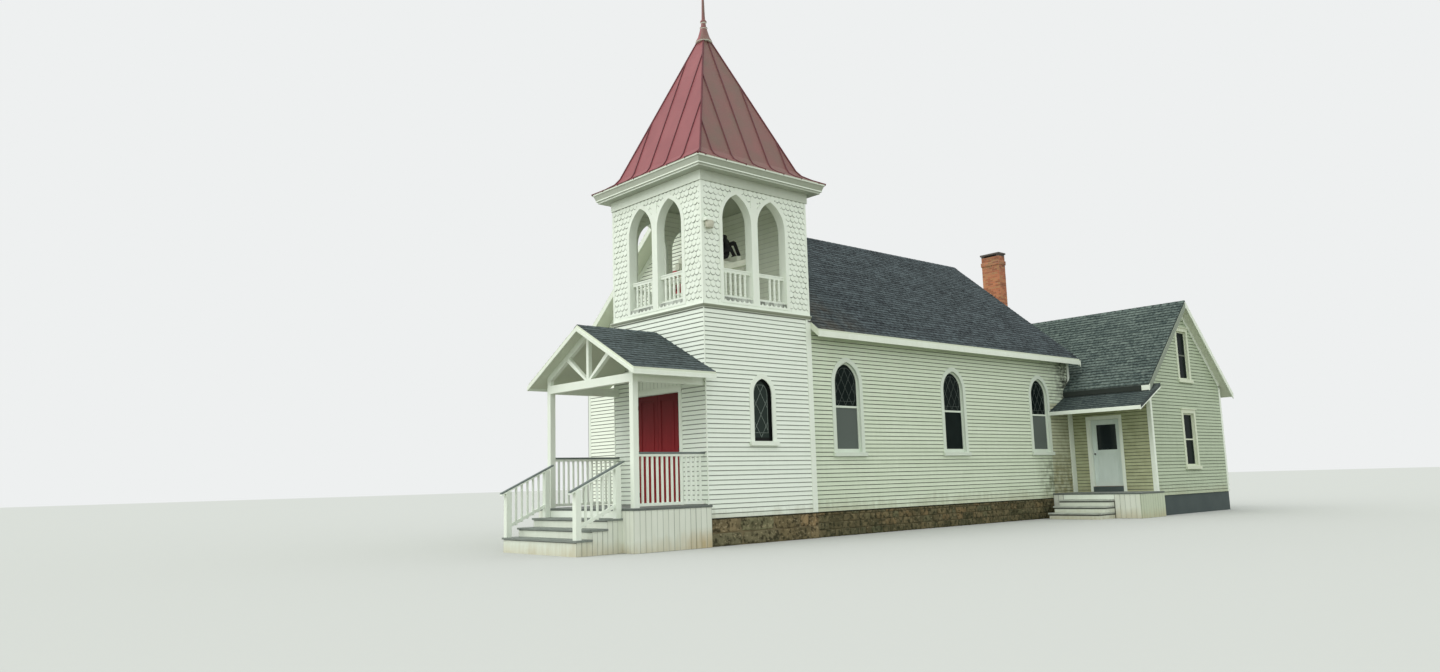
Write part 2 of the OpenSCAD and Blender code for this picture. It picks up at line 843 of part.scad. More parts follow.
module wing_gable_windows() {
    translate([wing_mid, 0]) {
        rect_window(low_w, low_z0, low_z1);
        rect_window(high_w, high_z0, high_z1);
    }
}

module wing_gable(x) {
    color("white") difference() {
        along(x, wall_t) gable_outline(wing_mid, wing_d / 2, wing_wall_z - seat, wing_pitch);
        along(x - 1, wall_t + 2) wing_gable_windows();
    }
}

module wing_right_wall() {
    wing_gable(wing_x1 - wall_t);
}

module wing_left_wall() {
    wing_gable(wing_x0);
}

module wing_back_wall() {
    y0 = wing_y1 - wall_t;
    color("white") difference() {
        block([wing_x0 + wall_t, y0, base_z], [wing_x1 - wall_t, wing_y1, wing_wall_z - seat]);
        for (x = wing_back_windows)
            across(y0 - 1, wall_t + 2) translate([x, 0]) rect_window(low_w, low_z0, low_z1);
    }
}

module wing_roof() {
    x0 = wing_x0 - wing_rake;
    x1 = wing_x1 + wing_rake;
    color("#6d6c69") difference() {
        turned() for (m = [0, 1]) mirror([m, 0, 0]) across(-x1, x1 - x0)
            slope_section(wing_d / 2, wing_eave, wing_ridge_under, wing_pitch, roof_t);
        block([x0 - 1, wing_y0 - 2 * wing_eave, 0], [nave_x1, wing_y0, wing_ridge_under]);
        chimney_shaft(0, chimney_z);
    }
}

// Section of the pent roof, made higher by over
module pent_section(over = 0) {
    y0 = wing_y0 - pent_d;
    up = upright(pent_t, pent_pitch);
    top = pent_z + rise(pent_d, pent_pitch);
    polygon([[y0, pent_z - up], [y0, pent_z + over], [wing_y0, top + over], [wing_y0, top - up]]);
}

// The pent roof passes under the wing's eave and stops short of the nave's window casing
module pent_roof() {
    color("#6d6c69") along(nave_x1 + board_t + clear, pent_w - board_t - clear) pent_section();
}

// Side deck: boards over a closed skirt
module side_deck() {
    x0 = nave_x1;
    x1 = nave_x1 + deck_w;
    y0 = wing_y0 - deck_d;
    color("#b9bab4") {
        block([x0, y0, deck_z - 40], [x1, wing_y0, deck_z]);
        difference() {
            block([x0 + found_out, y0 + skirt_in, 0], [x1 - skirt_in, wing_y0, deck_z - 39]);
            block([x0 + found_out + board_t, y0 + skirt_in + board_t, -1],
                [x1 - skirt_in - board_t, wing_y0 - board_t, deck_z - 40]);
        }
    }
}

side_step_w = 1580;
side_step_x = 370;
side_tread = 300;

// A closed flight from z down to the ground between x0 and x1, treads along -Y from y and h apart
module flight(x0, x1, y, z, h, risers, tread) {
    nose = 30;
    for (i = [1:risers - 1]) {
        top = z - i * h;
        block([x0 - nose, y - i * tread - nose, top - 40], [x1 + nose, y - (i - 1) * tread, top]);
        block([x0, y - i * tread, 0], [x1, y - i * tread + board_t, top - 39]);
    }
    for (x = [x0, x1 - board_t]) for (i = [1:risers - 1])
        block([x, y - i * tread, 0], [x + board_t, y, z - i * h - 39]);
}

module side_steps() {
    x0 = nave_x1 + side_step_x;
    color("#c4c4bd")
        flight(x0, x0 + side_step_w, wing_y0 - deck_d + skirt_in, deck_z, deck_z / deck_risers,
            deck_risers, side_tread);
}

// Panelled door leaf, standing from x = 0 to w and y = 0 to t; panels are [x0, x1, z0, z1]
module leaf(w, h, t, panels) {
    sink = 12;
    difference() {
        cube([w, t, h]);
        for (p = panels) for (y = [-1, t - sink])
            translate([p[0], y, p[2]]) cube([p[1] - p[0], sink + 1, p[3] - p[2]]);
    }
    for (p = panels) translate([p[0] + 45, 4, p[2] + 45])
        cube([p[1] - p[0] - 90, t - 8, p[3] - p[2] - 90]);
}

side_leaf_t = 45;

// The side door's hinges stand on the inner face
wing_inner_y = wing_y0 + wall_t;
side_axis_x = side_door_x1 - 2;
side_axis_y = wing_inner_y + 10;
side_hinge_lifts = [180, 980, 1780];
side_knob_z = 1000;

module side_leaf() {
    w = side_door_w - 2 * clear;
    z0 = floor_z + sill_up + clear;
    h = side_door_top_z - clear - z0;
    glass_z = 1120;
    translate([side_door_x0 + clear, wing_inner_y - side_leaf_t, z0]) {
        difference() {
            leaf(w, h, side_leaf_t, [[130, w - 130, 170, glass_z - 150]]);
            translate([150, -1, glass_z]) cube([w - 300, side_leaf_t + 2, h - glass_z - 150]);
        }
        translate([149, side_leaf_t / 2 - 4, glass_z - 1]) cube([w - 298, 8, h - glass_z - 148]);
        translate([75, 1, side_knob_z]) rotate([90, 0, 0]) cylinder(r = 10, h = 36);
        translate([75, -50, side_knob_z]) sphere(r = 28);
    }
}

module side_door() {
    color("#e6e9ea") difference() {
        union() {
            side_leaf();
            for (z = side_hinge_lifts) translate([side_axis_x, side_axis_y, floor_z + z]) {
                hinge_knuckle();
                translate([-33, -12, 31.5]) cube([30, 9, hinge_h - 63]);
            }
        }
        for (z = side_hinge_lifts) translate([side_axis_x, side_axis_y, floor_z + z]) hinge_bore();
    }
}

module chimney_shaft(z0, z1) {
    block([-chimney_x - chimney_w / 2, wing_mid - chimney_d / 2, z0],
        [-chimney_x + chimney_w / 2, wing_mid + chimney_d / 2, z1]);
}

module chimney() {
    flue = 110;
    cap_over = 35;
    x0 = -chimney_x - chimney_w / 2;
    x1 = -chimney_x + chimney_w / 2;
    y0 = wing_mid - chimney_d / 2;
    y1 = wing_mid + chimney_d / 2;
    color("#b4552f") difference() {
        union() {
            chimney_shaft(0, chimney_z);
            block([x0 - 25, y0 - 25, chimney_z - 330], [x1 + 25, y1 + 25, chimney_z - 180]);
        }
        block([x0 + flue, y0 + flue, 300], [x1 - flue, y1 - flue, chimney_z + 1]);
    }
    color("#8b8c8a") {
        for (x = [x0, x1 - flue]) block([x, y0, chimney_z - 1], [x + flue, y1, chimney_z + 70]);
        block([x0 - cap_over, y0 - cap_over, chimney_z + 70],
            [x1 + cap_over, y1 + cap_over, chimney_z + 130]);
    }
}

// Porch

porch_roof_d = 2200;
porch_under = porch_ridge_z - upright(porch_roof_t, porch_pitch);
post_in = posts_w / 2;

module porch_deck() {
    half = porch_w / 2;
    color("#b9bab4") {
        block([-half, -porch_d, floor_z - 40], [half, 0, floor_z]);
        difference() {
            block([-half + skirt_in, -porch_d + skirt_in, 0], [half - skirt_in, -found_out, floor_z - 39]);
            block([-half + skirt_in + board_t, -porch_d + skirt_in + board_t, -1],
                [half - skirt_in - board_t, -found_out - board_t, floor_z - 40]);
        }
    }
}

module porch_steps() {
    color("#d8dbd6")
        flight(-stair_w / 2, stair_w / 2, -porch_d + skirt_in, floor_z, step_h, stair_risers, tread_d);
}

// Posts, beams, rafters, king post and struts of the porch
module porch_frame() {
    rafter_h = 135;
    truss_t = 90;
    top = beam_z + beam_h;
    under_rafter = porch_under - upright(rafter_h, porch_pitch);
    strut_x = 800;
    foot_x = post_in - post_s;
    color("white") {
        for (s = [-1, 1]) {
            x0 = s > 0 ? post_in - post_s : -post_in;
            block([x0, -posts_y, floor_z], [x0 + post_s, -posts_y + post_s, beam_z + 1]);
            block([x0, -posts_y, beam_z], [x0 + post_s, 0, top]);
        }
        block([-post_in, -posts_y, beam_z], [post_in, -posts_y + post_s, top]);
        across(-posts_y, truss_t) {
            for (m = [0, 1]) mirror([m, 0]) {
                polygon([[0, porch_under - seat],
                    [post_in, porch_under - seat - rise(post_in, porch_pitch)],
                    [post_in, top], [foot_x, top],
                    [foot_x, under_rafter - rise(foot_x, porch_pitch)], [0, under_rafter]]);
                polygon([[20, top - 1], [110, top - 1],
                    [strut_x + 40, under_rafter - rise(strut_x + 40, porch_pitch) + 5],
                    [strut_x - 60, under_rafter - rise(strut_x - 60, porch_pitch) + 5]]);
            }
            translate([-45, top - 1]) square([90, under_rafter - top + 20]);
        }
    }
}

module porch_roof() {
    color("#4f5052") for (m = [0, 1]) mirror([m, 0, 0]) across(-porch_roof_d, porch_roof_d)
        slope_section(0, porch_roof_half, porch_under, porch_pitch, porch_roof_t);
}

// Side railings of the deck, newels and sloping stair railings
newel_y1 = -porch_d - newel_s;
newel_y0 = -porch_d + skirt_in - (stair_risers - 1) * tread_d;
stair_rail_x = stair_w / 2 - newel_s / 2;
step_h = min(stair_rise, floor_z / stair_risers);
low_tread_z = floor_z - (stair_risers - 1) * step_h;

module sloping_rail(y0, z0, y1, z1, h, w) {
    along(stair_rail_x - w / 2, w) polygon([[y0, z0], [y1, z1], [y1, z1 + h], [y0, z0 + h]]);
}

module stair_railing() {
    low_z = 1250;
    high_z = 1690;
    run = newel_y1 - newel_y0 - newel_s;
    slope = (high_z - low_z) / (newel_y1 - newel_y0);
    foot = 780;
    n = floor(run / stair_pitch);
    gap = run / (n + 1);
    x0 = stair_rail_x - newel_s / 2;
    block([x0, newel_y0, low_tread_z], [x0 + newel_s, newel_y0 + newel_s, low_z + 40]);
    block([x0, newel_y1, floor_z - step_h], [x0 + newel_s, newel_y1 + newel_s - 1, high_z + 40]);
    past = newel_s - 20;
    end_z = high_z + (newel_s + past) * slope;
    foot_z = low_z + newel_s * slope - foot;
    sloping_rail(newel_y0 - past, low_z - past * slope, newel_y1 + newel_s + past, end_z, 60, 90);
    sloping_rail(newel_y0 + newel_s - 1, foot_z, newel_y1 + 1, foot_z + run * slope, 70, 45);
    for (i = [1:n]) {
        y = newel_y0 + newel_s + i * gap - baluster_s / 2;
        rail_z = low_z + (y - newel_y0) * slope;
        block([stair_rail_x - baluster_s / 2, y, rail_z - foot - 20],
            [stair_rail_x + baluster_s / 2, y + baluster_s, rail_z + 20]);
    }
}

module porch_railings() {
    length = posts_y - post_s;
    color("white") for (m = [0, 1]) mirror([m, 0, 0]) {
        translate([post_in - post_s / 2, -length, floor_z]) rotate([0, 0, 90])
            rail_panel(length, rail_h, 100, 35, baluster_pitch);
        stair_railing();
    }
}

// Door hinges. Each pin stands on z = 0; dir is +1 when the leaf lies towards -X from it.
hinge_h = 100;
knuckle_r = 9;
hinge_pin_r = 5;
hinge_lifts = [180, 1150, 2200];

module hinge_pin() {
    cylinder(r = hinge_pin_r, h = hinge_h);
    for (z = [0, hinge_h - 30]) translate([0, 0, z]) cylinder(r = knuckle_r, h = 30);
}

module hinge_knuckle() {
    translate([0, 0, 31.5]) cylinder(r = knuckle_r, h = hinge_h - 63);
}

module hinge_bore() {
    translate([0, 0, -1]) cylinder(r = hinge_pin_r + 0.1, h = hinge_h + 2);
}

// Front doors: a pair of leaves that open outwards
front_axis_y = -26;
leaf_gap = 7;
leaf_y = -18;

module front_leaf() {
    w = door_w / 2 - clear - leaf_gap / 2;
    z0 = floor_z + sill_up + clear + 1;
    h = door_top_z - clear - z0;
    low_top = 0.42 * h;
    handle_z = low_top + 60;
    difference() {
        union() {
            translate([leaf_gap / 2, leaf_y, z0]) {
                leaf(w, h, leaf_t, [[110, w - 110, 190, low_top], [110, w - 110, low_top + 120, h - 130]]);
                translate([55, 0, handle_z]) rotate([90, 0, 0]) cylinder(r = 9, h = 38);
                translate([55, -48, handle_z]) sphere(r = 26);
            }
            for (z = hinge_lifts) translate([door_w / 2, front_axis_y, floor_z + z]) {
                hinge_knuckle();
                translate([-30, 2, 31.5]) cube([26, 8, hinge_h - 63]);
            }
        }
        for (z = hinge_lifts) translate([door_w / 2, front_axis_y, floor_z + z]) hinge_bore();
    }
}

module front_door_right() {
    color("#a3282b") front_leaf();
}

module front_door_left() {
    color("#a3282b") mirror([1, 0, 0]) front_leaf();
}

// The hinges' fixed halves: pins with straps on the walls beside the doorways
module door_hinges() {
    color("#6b6c6c") {
        for (m = [0, 1]) mirror([m, 0, 0]) for (z = hinge_lifts)
            translate([door_w / 2, front_axis_y, floor_z + z]) {
                hinge_pin();
                for (lift = [0, hinge_h - 30]) translate([0, 0, lift]) cube([8, -front_axis_y, 30]);
            }
        for (z = side_hinge_lifts) translate([side_axis_x, side_axis_y, floor_z + z]) {
            hinge_pin();
            for (lift = [0, hinge_h - 30])
                translate([2, wing_inner_y - side_axis_y, lift]) cube([30, 6, 30]);
        }
    }
}

// Windows: casing on the face, lining through the wall, sash and sill
lining = 20;
sash_w = 45;

module frame_section(depth) {
    sash_y = 45;
    across(-board_t, board_t) difference() {
        children(2);
        children(1);
    }
    across(-board_t, depth + board_t) difference() {
        children(1);
        children(0);
    }
    across(sash_y, 38) difference() {
        children(0);
        children(3);
    }
}

module sill(w, z) {
    block([-w / 2 - casing_w - 30, -75, z - 95], [w / 2 + casing_w + 30, 0, z - 25]);
    block([-w / 2, -76, z - 26], [w / 2, 46, z + 1]);
    block([-w / 2 - casing_w - 30, -75, z - 26], [w / 2 + casing_w + 30, 0, z]);
}

// A pointed window frame about x = 0, its wall's outer face at y = 0
module pointed_frame(w, z, spring, h, depth, rail) {
    difference() {
        frame_section(depth) {
            pointed(w, z, spring, h, -lining);
            pointed(w, z, spring, h);
            pointed(w, z, spring, h, casing_w);
            pointed(w, z + 2 * sash_w, spring, h, -lining - sash_w);
        }
        block([-w, 1, z - 200], [w, depth, z]);
    }
    if (rail > 0) block([-w / 2 + lining, 45, z + rail - 25], [w / 2 - lining, 62, z + rail + 25]);
    difference() {
        sill(w, z);
        block([-w, 0, z - 200], [w, depth, z]);
    }
}

module rect_frame(w, z0, z1, depth) {
    mid = (z0 + z1) / 2;
    difference() {
        frame_section(depth) {
            rect_window(w, z0, z1, -lining);
            rect_window(w, z0, z1);
            rect_window(w, z0, z1, casing_w);
            rect_window(w, z0, z1, -lining - sash_w);
        }
        block([-w, -200, z0 - 200], [w, 0, z0]);
    }
    block([-w / 2 + lining, 45, mid - 22], [w / 2 - lining, 62, mid + 22]);
    block([-w / 2 - casing_w - 40, -60, z1 + casing_w], [w / 2 + casing_w + 40, 0, z1 + casing_w + 28]);
    difference() {
        sill(w, z0);
        block([-w, 0, z0 - 200], [w, depth, z0]);
    }
}

// Turns a piece made for a front face on to the right-hand face x, at y
module on_right(x, y) {
    translate([x, y, 0]) rotate([0, 0, 90]) children();
}

module on_left(x, y) {
    translate([x, y, 0]) rotate([0, 0, -90]) children();
}

module on_back(x, y) {
    translate([x, y, 0]) rotate([0, 0, 180]) children();
}

module each_nave_window() {
    for (y = nave_windows) {
        on_right(nave_x1, y) children();
        on_left(nave_x0, y) children();
    }
}

module each_lancet() {
    on_right(tower_x, tower_w / 2) children();
    on_left(-tower_x, tower_w / 2) children();
}

module each_wing_gable() {
    on_right(wing_x1, wing_mid) children();
    on_left(wing_x0, wing_mid) children();
}

module window_frames() {
    color("white") {
        each_nave_window() pointed_frame(win_w, win_z, win_spring_z, win_rise, wall_t, meeting_h);
        each_lancet() pointed_frame(lancet_w, lancet_z, lancet_spring_z, lancet_rise, tower_t, 0);
        each_wing_gable() rect_frame(low_w, low_z0, low_z1, wall_t);
        each_wing_gable() rect_frame(high_w, high_z0, high_z1, wall_t);
        for (x = wing_back_windows) on_back(x, wing_y1) rect_frame(low_w, low_z0, low_z1, wall_t);
    }
}

module pane() {
    across(63, 6) children();
}

module window_glass() {
    in = -lining - sash_w;
    color("#3c4448") {
        each_nave_window() pane() pointed(win_w, win_z + 2 * sash_w, win_spring_z, win_rise, in);
        each_lancet() pane() pointed(lancet_w, lancet_z + 2 * sash_w, lancet_spring_z, lancet_rise, in);
        each_wing_gable() pane() rect_window(low_w, low_z0, low_z1, in);
        each_wing_gable() pane() rect_window(high_w, high_z0, high_z1, in);
        for (x = wing_back_windows) on_back(x, wing_y1) pane() rect_window(low_w, low_z0, low_z1, in);
    }
}

stone_foundation();
wing_foundation();
nave_floor();
wing_floor();
tower_front_wall_left();
tower_front_wall_right();
tower_front_wall_head();
tower_right_wall();
tower_left_wall();
tower_back_wall();
tower_belt();
belfry_floor();
belfry_front_wall();
belfry_right_wall();
belfry_left_wall();
belfry_railings();
belfry_frieze();
belfry_cornice();
spire_roof();
finial();
bell_beams();
bell_stands();
bell();
nave_front_wall();
nave_right_wall();
nave_left_wall();
nave_back_wall();
nave_roof_right();
nave_roof_left();
gable_vent();
roof_edge_boards();
wing_front_wall_left();
wing_front_wall_right();
wing_front_wall_head();
wing_right_wall();
wing_back_wall();
wing_left_wall();
wing_roof();
pent_roof();
side_deck();
side_steps();
side_door();
chimney();
porch_deck();
porch_steps();
porch_frame();
porch_roof();
porch_railings();
front_door_left();
front_door_right();
door_hinges();
window_frames();
window_glass();
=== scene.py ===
"""Looks of the small chapel: siding, shingles, metal roofing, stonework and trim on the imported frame."""
import math

import bpy
import numpy as np
from mathutils import Matrix, Vector


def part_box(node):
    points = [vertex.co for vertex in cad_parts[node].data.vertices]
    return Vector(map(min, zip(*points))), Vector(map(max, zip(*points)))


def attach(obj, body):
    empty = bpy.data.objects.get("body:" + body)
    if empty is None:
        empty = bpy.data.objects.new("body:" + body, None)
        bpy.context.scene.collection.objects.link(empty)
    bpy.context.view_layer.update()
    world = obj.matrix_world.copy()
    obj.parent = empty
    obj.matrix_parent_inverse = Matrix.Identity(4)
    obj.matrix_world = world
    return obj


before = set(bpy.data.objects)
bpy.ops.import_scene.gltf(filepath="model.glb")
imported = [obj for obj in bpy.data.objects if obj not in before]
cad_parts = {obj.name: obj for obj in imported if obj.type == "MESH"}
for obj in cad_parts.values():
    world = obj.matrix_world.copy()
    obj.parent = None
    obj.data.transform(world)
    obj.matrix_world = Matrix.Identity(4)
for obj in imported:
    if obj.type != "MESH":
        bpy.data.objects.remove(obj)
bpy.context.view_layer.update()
scene = bpy.context.scene
BUILDING = "building"

# Sizes repeated from the part's source, in metres
TOWER_HALF, TOWER_D, TOWER_T = 1.69, 3.38, 0.2
SIDING_Z, BELT_Z, BELT_TOP = 0.6, 5.19, 5.285
BELFRY_TOP, FRIEZE_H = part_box("belfry_cornice")[0].z, 0.23
FRIEZE_Z = BELFRY_TOP - FRIEZE_H
SPIRE_Z, SPIRE_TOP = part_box("spire_roof")[0].z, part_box("spire_roof")[1].z
BEL_SILL, BEL_SPRING, BEL_RISE, BEL_W = 5.4, BELFRY_TOP - 1.05, 0.65, 0.9
PAIR_HALF, SIDE_PAIR_Y = 0.55, 1.605
NAVE_X0, NAVE_X1, NAVE_Y0, NAVE_Y1 = -6.776, 1.624, 2.66, 15.48
NAVE_MID, NAVE_HALF, NAVE_WALL_Z, NAVE_PITCH = -2.576, 4.2, 5.05, math.radians(40.2)
NAVE_EAVE, NAVE_RAKE, NAVE_BACK_RAKE = 0.33, 0.47, 0.16
NAVE_WINDOWS = (4.69, 9.13, 13.57)
WING_X1, WING_Y1, WING_MID, WING_HALF = 4.182, 20.6, 18.04, 2.56
WING_WALL_Z, WING_PITCH, WING_EAVE, WING_RAKE = 4.15, math.radians(42.9), 0.45, 0.24
SIDE_DOOR_X0, SIDE_DOOR_X1 = 2.189, 3.159
FLOOR_Z, DECK_Z, DECK_Y = 0.885, 0.73, 13.98
PORCH_HALF, PORCH_PITCH, PORCH_D = 2.04, math.radians(28.7), 2.2
SKIRT_X, SKIRT_Y, SKIRT_TOP, STAIR_HALF = 1.795, -2.07, 0.842, 1.41
STEP_RISE, STEP_RUN = 0.19, 0.37
PENT_PITCH, PENT_EAVE_Y, PENT_RUN, PENT_Z = math.radians(26.5), 14.1, 1.38, 3.25
CHIMNEY_X, CHIMNEY_W, CHIMNEY_D, CHIMNEY_Z = -2.5, 0.74, 0.39, 9.44
DOOR_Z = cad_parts["front_door_left"].matrix_world.translation.z
RAIL_CAP_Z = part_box("porch_railings")[1].z - 0.04
STAIR_LOW_Y, STAIR_TOP_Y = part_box("porch_railings")[0].y + 0.105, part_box("porch_deck")[0].y - 0.125
STAIR_RAIL_Z = (1.25, 1.69)


def rise(run, pitch):
    return run * math.tan(pitch)


def upright(t, pitch):
    return t / math.cos(pitch)


def srgb(red, green, blue):
    """A display colour of 0 to 255 as the linear colour that a socket takes."""
    def linear(c):
        c /= 255
        return c / 12.92 if c <= 0.04045 else ((c + 0.055) / 1.055) ** 2.4
    return (linear(red), linear(green), linear(blue), 1.0)


# ---- Node trees written as expressions


def operator(operation, swapped=False):
    """A method of Wire that adds a Math node."""
    def apply(self, other):
        return self.graph.math(operation, *((other, self) if swapped else (self, other)))
    return apply


class Wire:
    """A node's output; arithmetic on it adds Math nodes to its tree."""

    __add__ = __radd__ = operator("ADD")
    __mul__ = __rmul__ = operator("MULTIPLY")
    __sub__, __rsub__ = operator("SUBTRACT"), operator("SUBTRACT", True)
    __truediv__, __gt__, __lt__ = operator("DIVIDE"), operator("GREATER_THAN"), operator("LESS_THAN")

    def __init__(self, graph, socket):
        self.graph, self.socket = graph, socket

    def clamp(self):
        return self.graph.math("ADD", self, 0.0, use_clamp=True)


class Graph:
    """A node tree that is filled by one call for each node. Colours are wires or values of 0 to 255."""

    def __init__(self, tree):
        self.tree = tree
        tree.nodes.clear()

    def add(self, kind, inputs=None, settings=None, out=0):
        node = self.tree.nodes.new(kind)
        for key, value in (settings or {}).items():
            setattr(node, key, value)
        for key, value in (inputs or {}).items():
            if isinstance(value, Wire):
                self.tree.links.new(value.socket, node.inputs[key])
            else:
                node.inputs[key].default_value = value
        return Wire(self, node.outputs[out]) if len(node.outputs) else None

    def math(self, operation, a, b=0.0, use_clamp=False):
        return self.add("ShaderNodeMath", {0: a, 1: b}, {"operation": operation, "use_clamp": use_clamp})

    def place(self, stretch=(1, 1, 1)):
        where = self.add("ShaderNodeTexCoord", out="Object")
        if tuple(stretch) == (1, 1, 1):
            return where
        return self.add("ShaderNodeMapping", {"Vector": where, "Scale": stretch})

    def part(self, vector, name):
        return self.add("ShaderNodeSeparateXYZ", {0: vector}, out=name)

    def axis(self, name):
        return self.part(self.place(), name)

    def axes(self):
        return [self.axis(name) for name in "XYZ"]

    def facing(self, name):
        return self.part(self.add("ShaderNodeNewGeometry", out="Normal"), name)

    def noise(self, scale, detail=3.0, stretch=(1, 1, 1)):
        where = self.place(stretch)
        return self.add("ShaderNodeTexNoise", {"Vector": where, "Scale": scale, "Detail": detail}, out="Fac")

    def mix(self, share, *pair):
        a, b = (colour if isinstance(colour, Wire) else srgb(*colour) for colour in pair)
        return self.add("ShaderNodeMix", {0: share, 6: a, 7: b}, {"data_type": "RGBA"}, out=2)

    def coats(self, colour, *layers):
        """A colour under layers of (share, colour)."""
        for share, layer in layers:
            colour = self.mix(share, colour, layer)
        return colour

    def ramp(self, share, *stops):
        wire = self.add("ShaderNodeValToRGB", {0: share}, out="Color")
        elements = wire.socket.node.color_ramp.elements
        while len(elements) < len(stops):
            elements.new(0.5)
        for element, (place, colour) in zip(elements, stops):
            element.position, element.color = place, srgb(*colour)
        return wire

    def tone(self):
        return self.add("ShaderNodeAttribute", None, {"attribute_name": "tone"}, out="Fac")

    def own(self, name):
        """A laid piece's x, y or z in its own shape, before it was sized and turned; 0 on other meshes."""
        return self.part(self.add("ShaderNodeAttribute", None, {"attribute_name": "own"}, out="Vector"), name)

    def absolute(self, value):
        return self.math("ABSOLUTE", value)


def finish(name, build, constants):
    """A material from build(graph), which gives colour, roughness and, if it has relief, (height, metres)."""
    material = bpy.data.materials.new(name)
    material.use_nodes = True
    g = Graph(material.node_tree)
    colour, rough, *relief = build(g)
    inputs = {"Base Color": colour, "Roughness": rough, **constants}
    if relief:
        height, depth = relief[0]
        inputs["Normal"] = g.add("ShaderNodeBump", {"Height": height, "Distance": depth, "Strength": 0.6})
    shader = g.add("ShaderNodeBsdfPrincipled", inputs)
    g.add("ShaderNodeOutputMaterial", {"Surface": shader})
    return material


# ---- Finishes

# The second colour is for dark joints and also for painted shadow lines under lapped boards and scales.
WHITE, JOINT_AND_SHADOW, GRIME, STAIN = (235, 243, 231), (58, 65, 52), (150, 146, 112), (176, 158, 108)


def paint(light, worn, lines=None, stains=None, grime=None, low=0.6, reach=0.5):
    """Chalky house paint: streaks, dark lines where it has lines, which are joints on some boards and painted shadow
    under lapped boards and scales, and grime that climbs from low by reach.
    """
    def build(g):
        broad = g.noise(0.9)
        streak = g.noise(9.0, 4.0, (1, 1, 0.22))
        grain = g.noise(60.0, 2.0, (1, 1, 0.3))
        wear = broad * 0.5 + streak * 0.5 - 0.12
        if lines:
            wear = wear + g.tone() * 0.32 - 0.16
        colour = g.mix(wear.clamp(), light, worn)
        if stains:
            colour = stains(g, colour, streak)
        if grime:
            climb = ((low + reach - g.axis("Z")) / reach + (streak - 0.5) * 1.2 + (broad - 0.6) * 1.5).clamp()
            colour = g.mix(climb * 0.45, colour, grime)
        if lines:
            colour = g.mix(lines(g), colour, JOINT_AND_SHADOW)
        return colour, streak * 0.2 + 0.5, (grain * 0.5 + streak * 0.5, 0.002)
    return build


def over_white(worn, layers):
    """White paint under the layers that layers(g) gives."""
    def build(g):
        colour, rough, relief = paint(WHITE, worn)(g)
        return g.coats(colour, *layers(g)), rough, relief
    return build


def lap_shadow_lines(depth):
    """Painted shadow: the dark line under each clapboard's butt, and darker undersides of the butts."""
    return lambda g: ((g.own("Z") - 0.77) * 11.0 + (g.facing("Z") < -0.5)).clamp() * depth


def scale_lines(g):
    """Painted shadow: the dark crescents under the rounded butts of the next row, half a tab to the side, and darker
    undersides.
    """
    side = g.own("X")
    apart = g.math("MINIMUM", side, 1 - side) * 2.0
    sag = g.math("SQRT", (1 - apart * apart).clamp()) * 0.5
    return ((g.own("Z") + sag - 1.3) * 7.0 + (g.facing("Z") < -0.3)).clamp() * (g.tone() * 0.45 + 0.4)


def board_lines(g):
    """The dark joints between boards that stand side by side."""
    return ((g.absolute(g.own("X") - 0.5) - 0.41) * 12.0).clamp() * (g.tone() * 0.5 + 0.05)


def faint_lines(g):
    """The thin joints between the boards inside the belfry."""
    return ((g.own("Z") - 0.85) * 8.0).clamp() * 0.3


def deck_stains(g, colour, streak):
    """Cream paint on the right face of the side deck, and rusty wet stains low on the porch skirt by the tower."""
    x, y, z = g.axes()
    dark_patch = ((0.45 - z) * 3.2).clamp() * ((y + 1.0) * 1.4).clamp() * (y < 1.0) * (streak * 1.6 - 0.1).clamp()
    return g.coats(colour, (dark_patch * 0.8, (184, 158, 108)), ((x > 4.36) * 0.8, (182, 194, 164)))


def nave_stains(g, colour, streak):
    """Clean paint on the front, wet streaks near the rear wing, mould low by the deck, and painted shade: a ragged
    near-black patch above the pent roof and a yellow-olive darkening under it.
    """
    x, y, z = g.axes()
    right_side = (x > 1.0) * (y < 15.49)
    near_wing = ((y - 13.4) * 0.6).clamp() * right_side
    blot = (g.noise(5.0, 5.0) * 2.4 - 0.95).clamp()
    ragged = (g.noise(6.0, 5.0, (1, 1, 2.2)) * 5.0 - 1.9).clamp()
    # Painted shade: a ragged near-black patch on the wall above the pent roof, by the wing
    above_pent_shade = ((y - 14.5) * 1.8).clamp() * ((z - 3.5) * 2.0).clamp() * right_side * ragged
    mould = ((2.05 - z) * 1.4).clamp() * ((y - 13.1) * 1.1).clamp() * right_side * (blot * 1.5 + 0.2).clamp()
    # Painted shade, yellow-olive, on the wall under the pent roof
    under_pent_shade = (z < 3.5) * (y > 14.1) * right_side
    return g.coats(colour, (y < 2.75, (236, 243, 228)), (near_wing * blot * 0.65, (92, 100, 78)),
                   (above_pent_shade * 0.9, (38, 42, 34)), (mould * 0.85, (100, 106, 70)),
                   (under_pent_shade * 0.5, (164, 158, 116)))


def wing_stains(g, colour, streak):
    """Painted shade in a yellow-olive tone on the wall beside the side door, under the pent roof, with blotches."""
    # Painted shade under the pent roof, blotched
    under_pent_shade = (g.axis("Y") < 15.6) * (g.axis("Z") < 3.6)
    blot = (g.noise(4.0, 5.0) * 1.8 - 0.5).clamp()
    return g.coats(colour, (under_pent_shade * 0.5, (182, 180, 130)), (under_pent_shade * blot * 0.5, (118, 118, 84)))


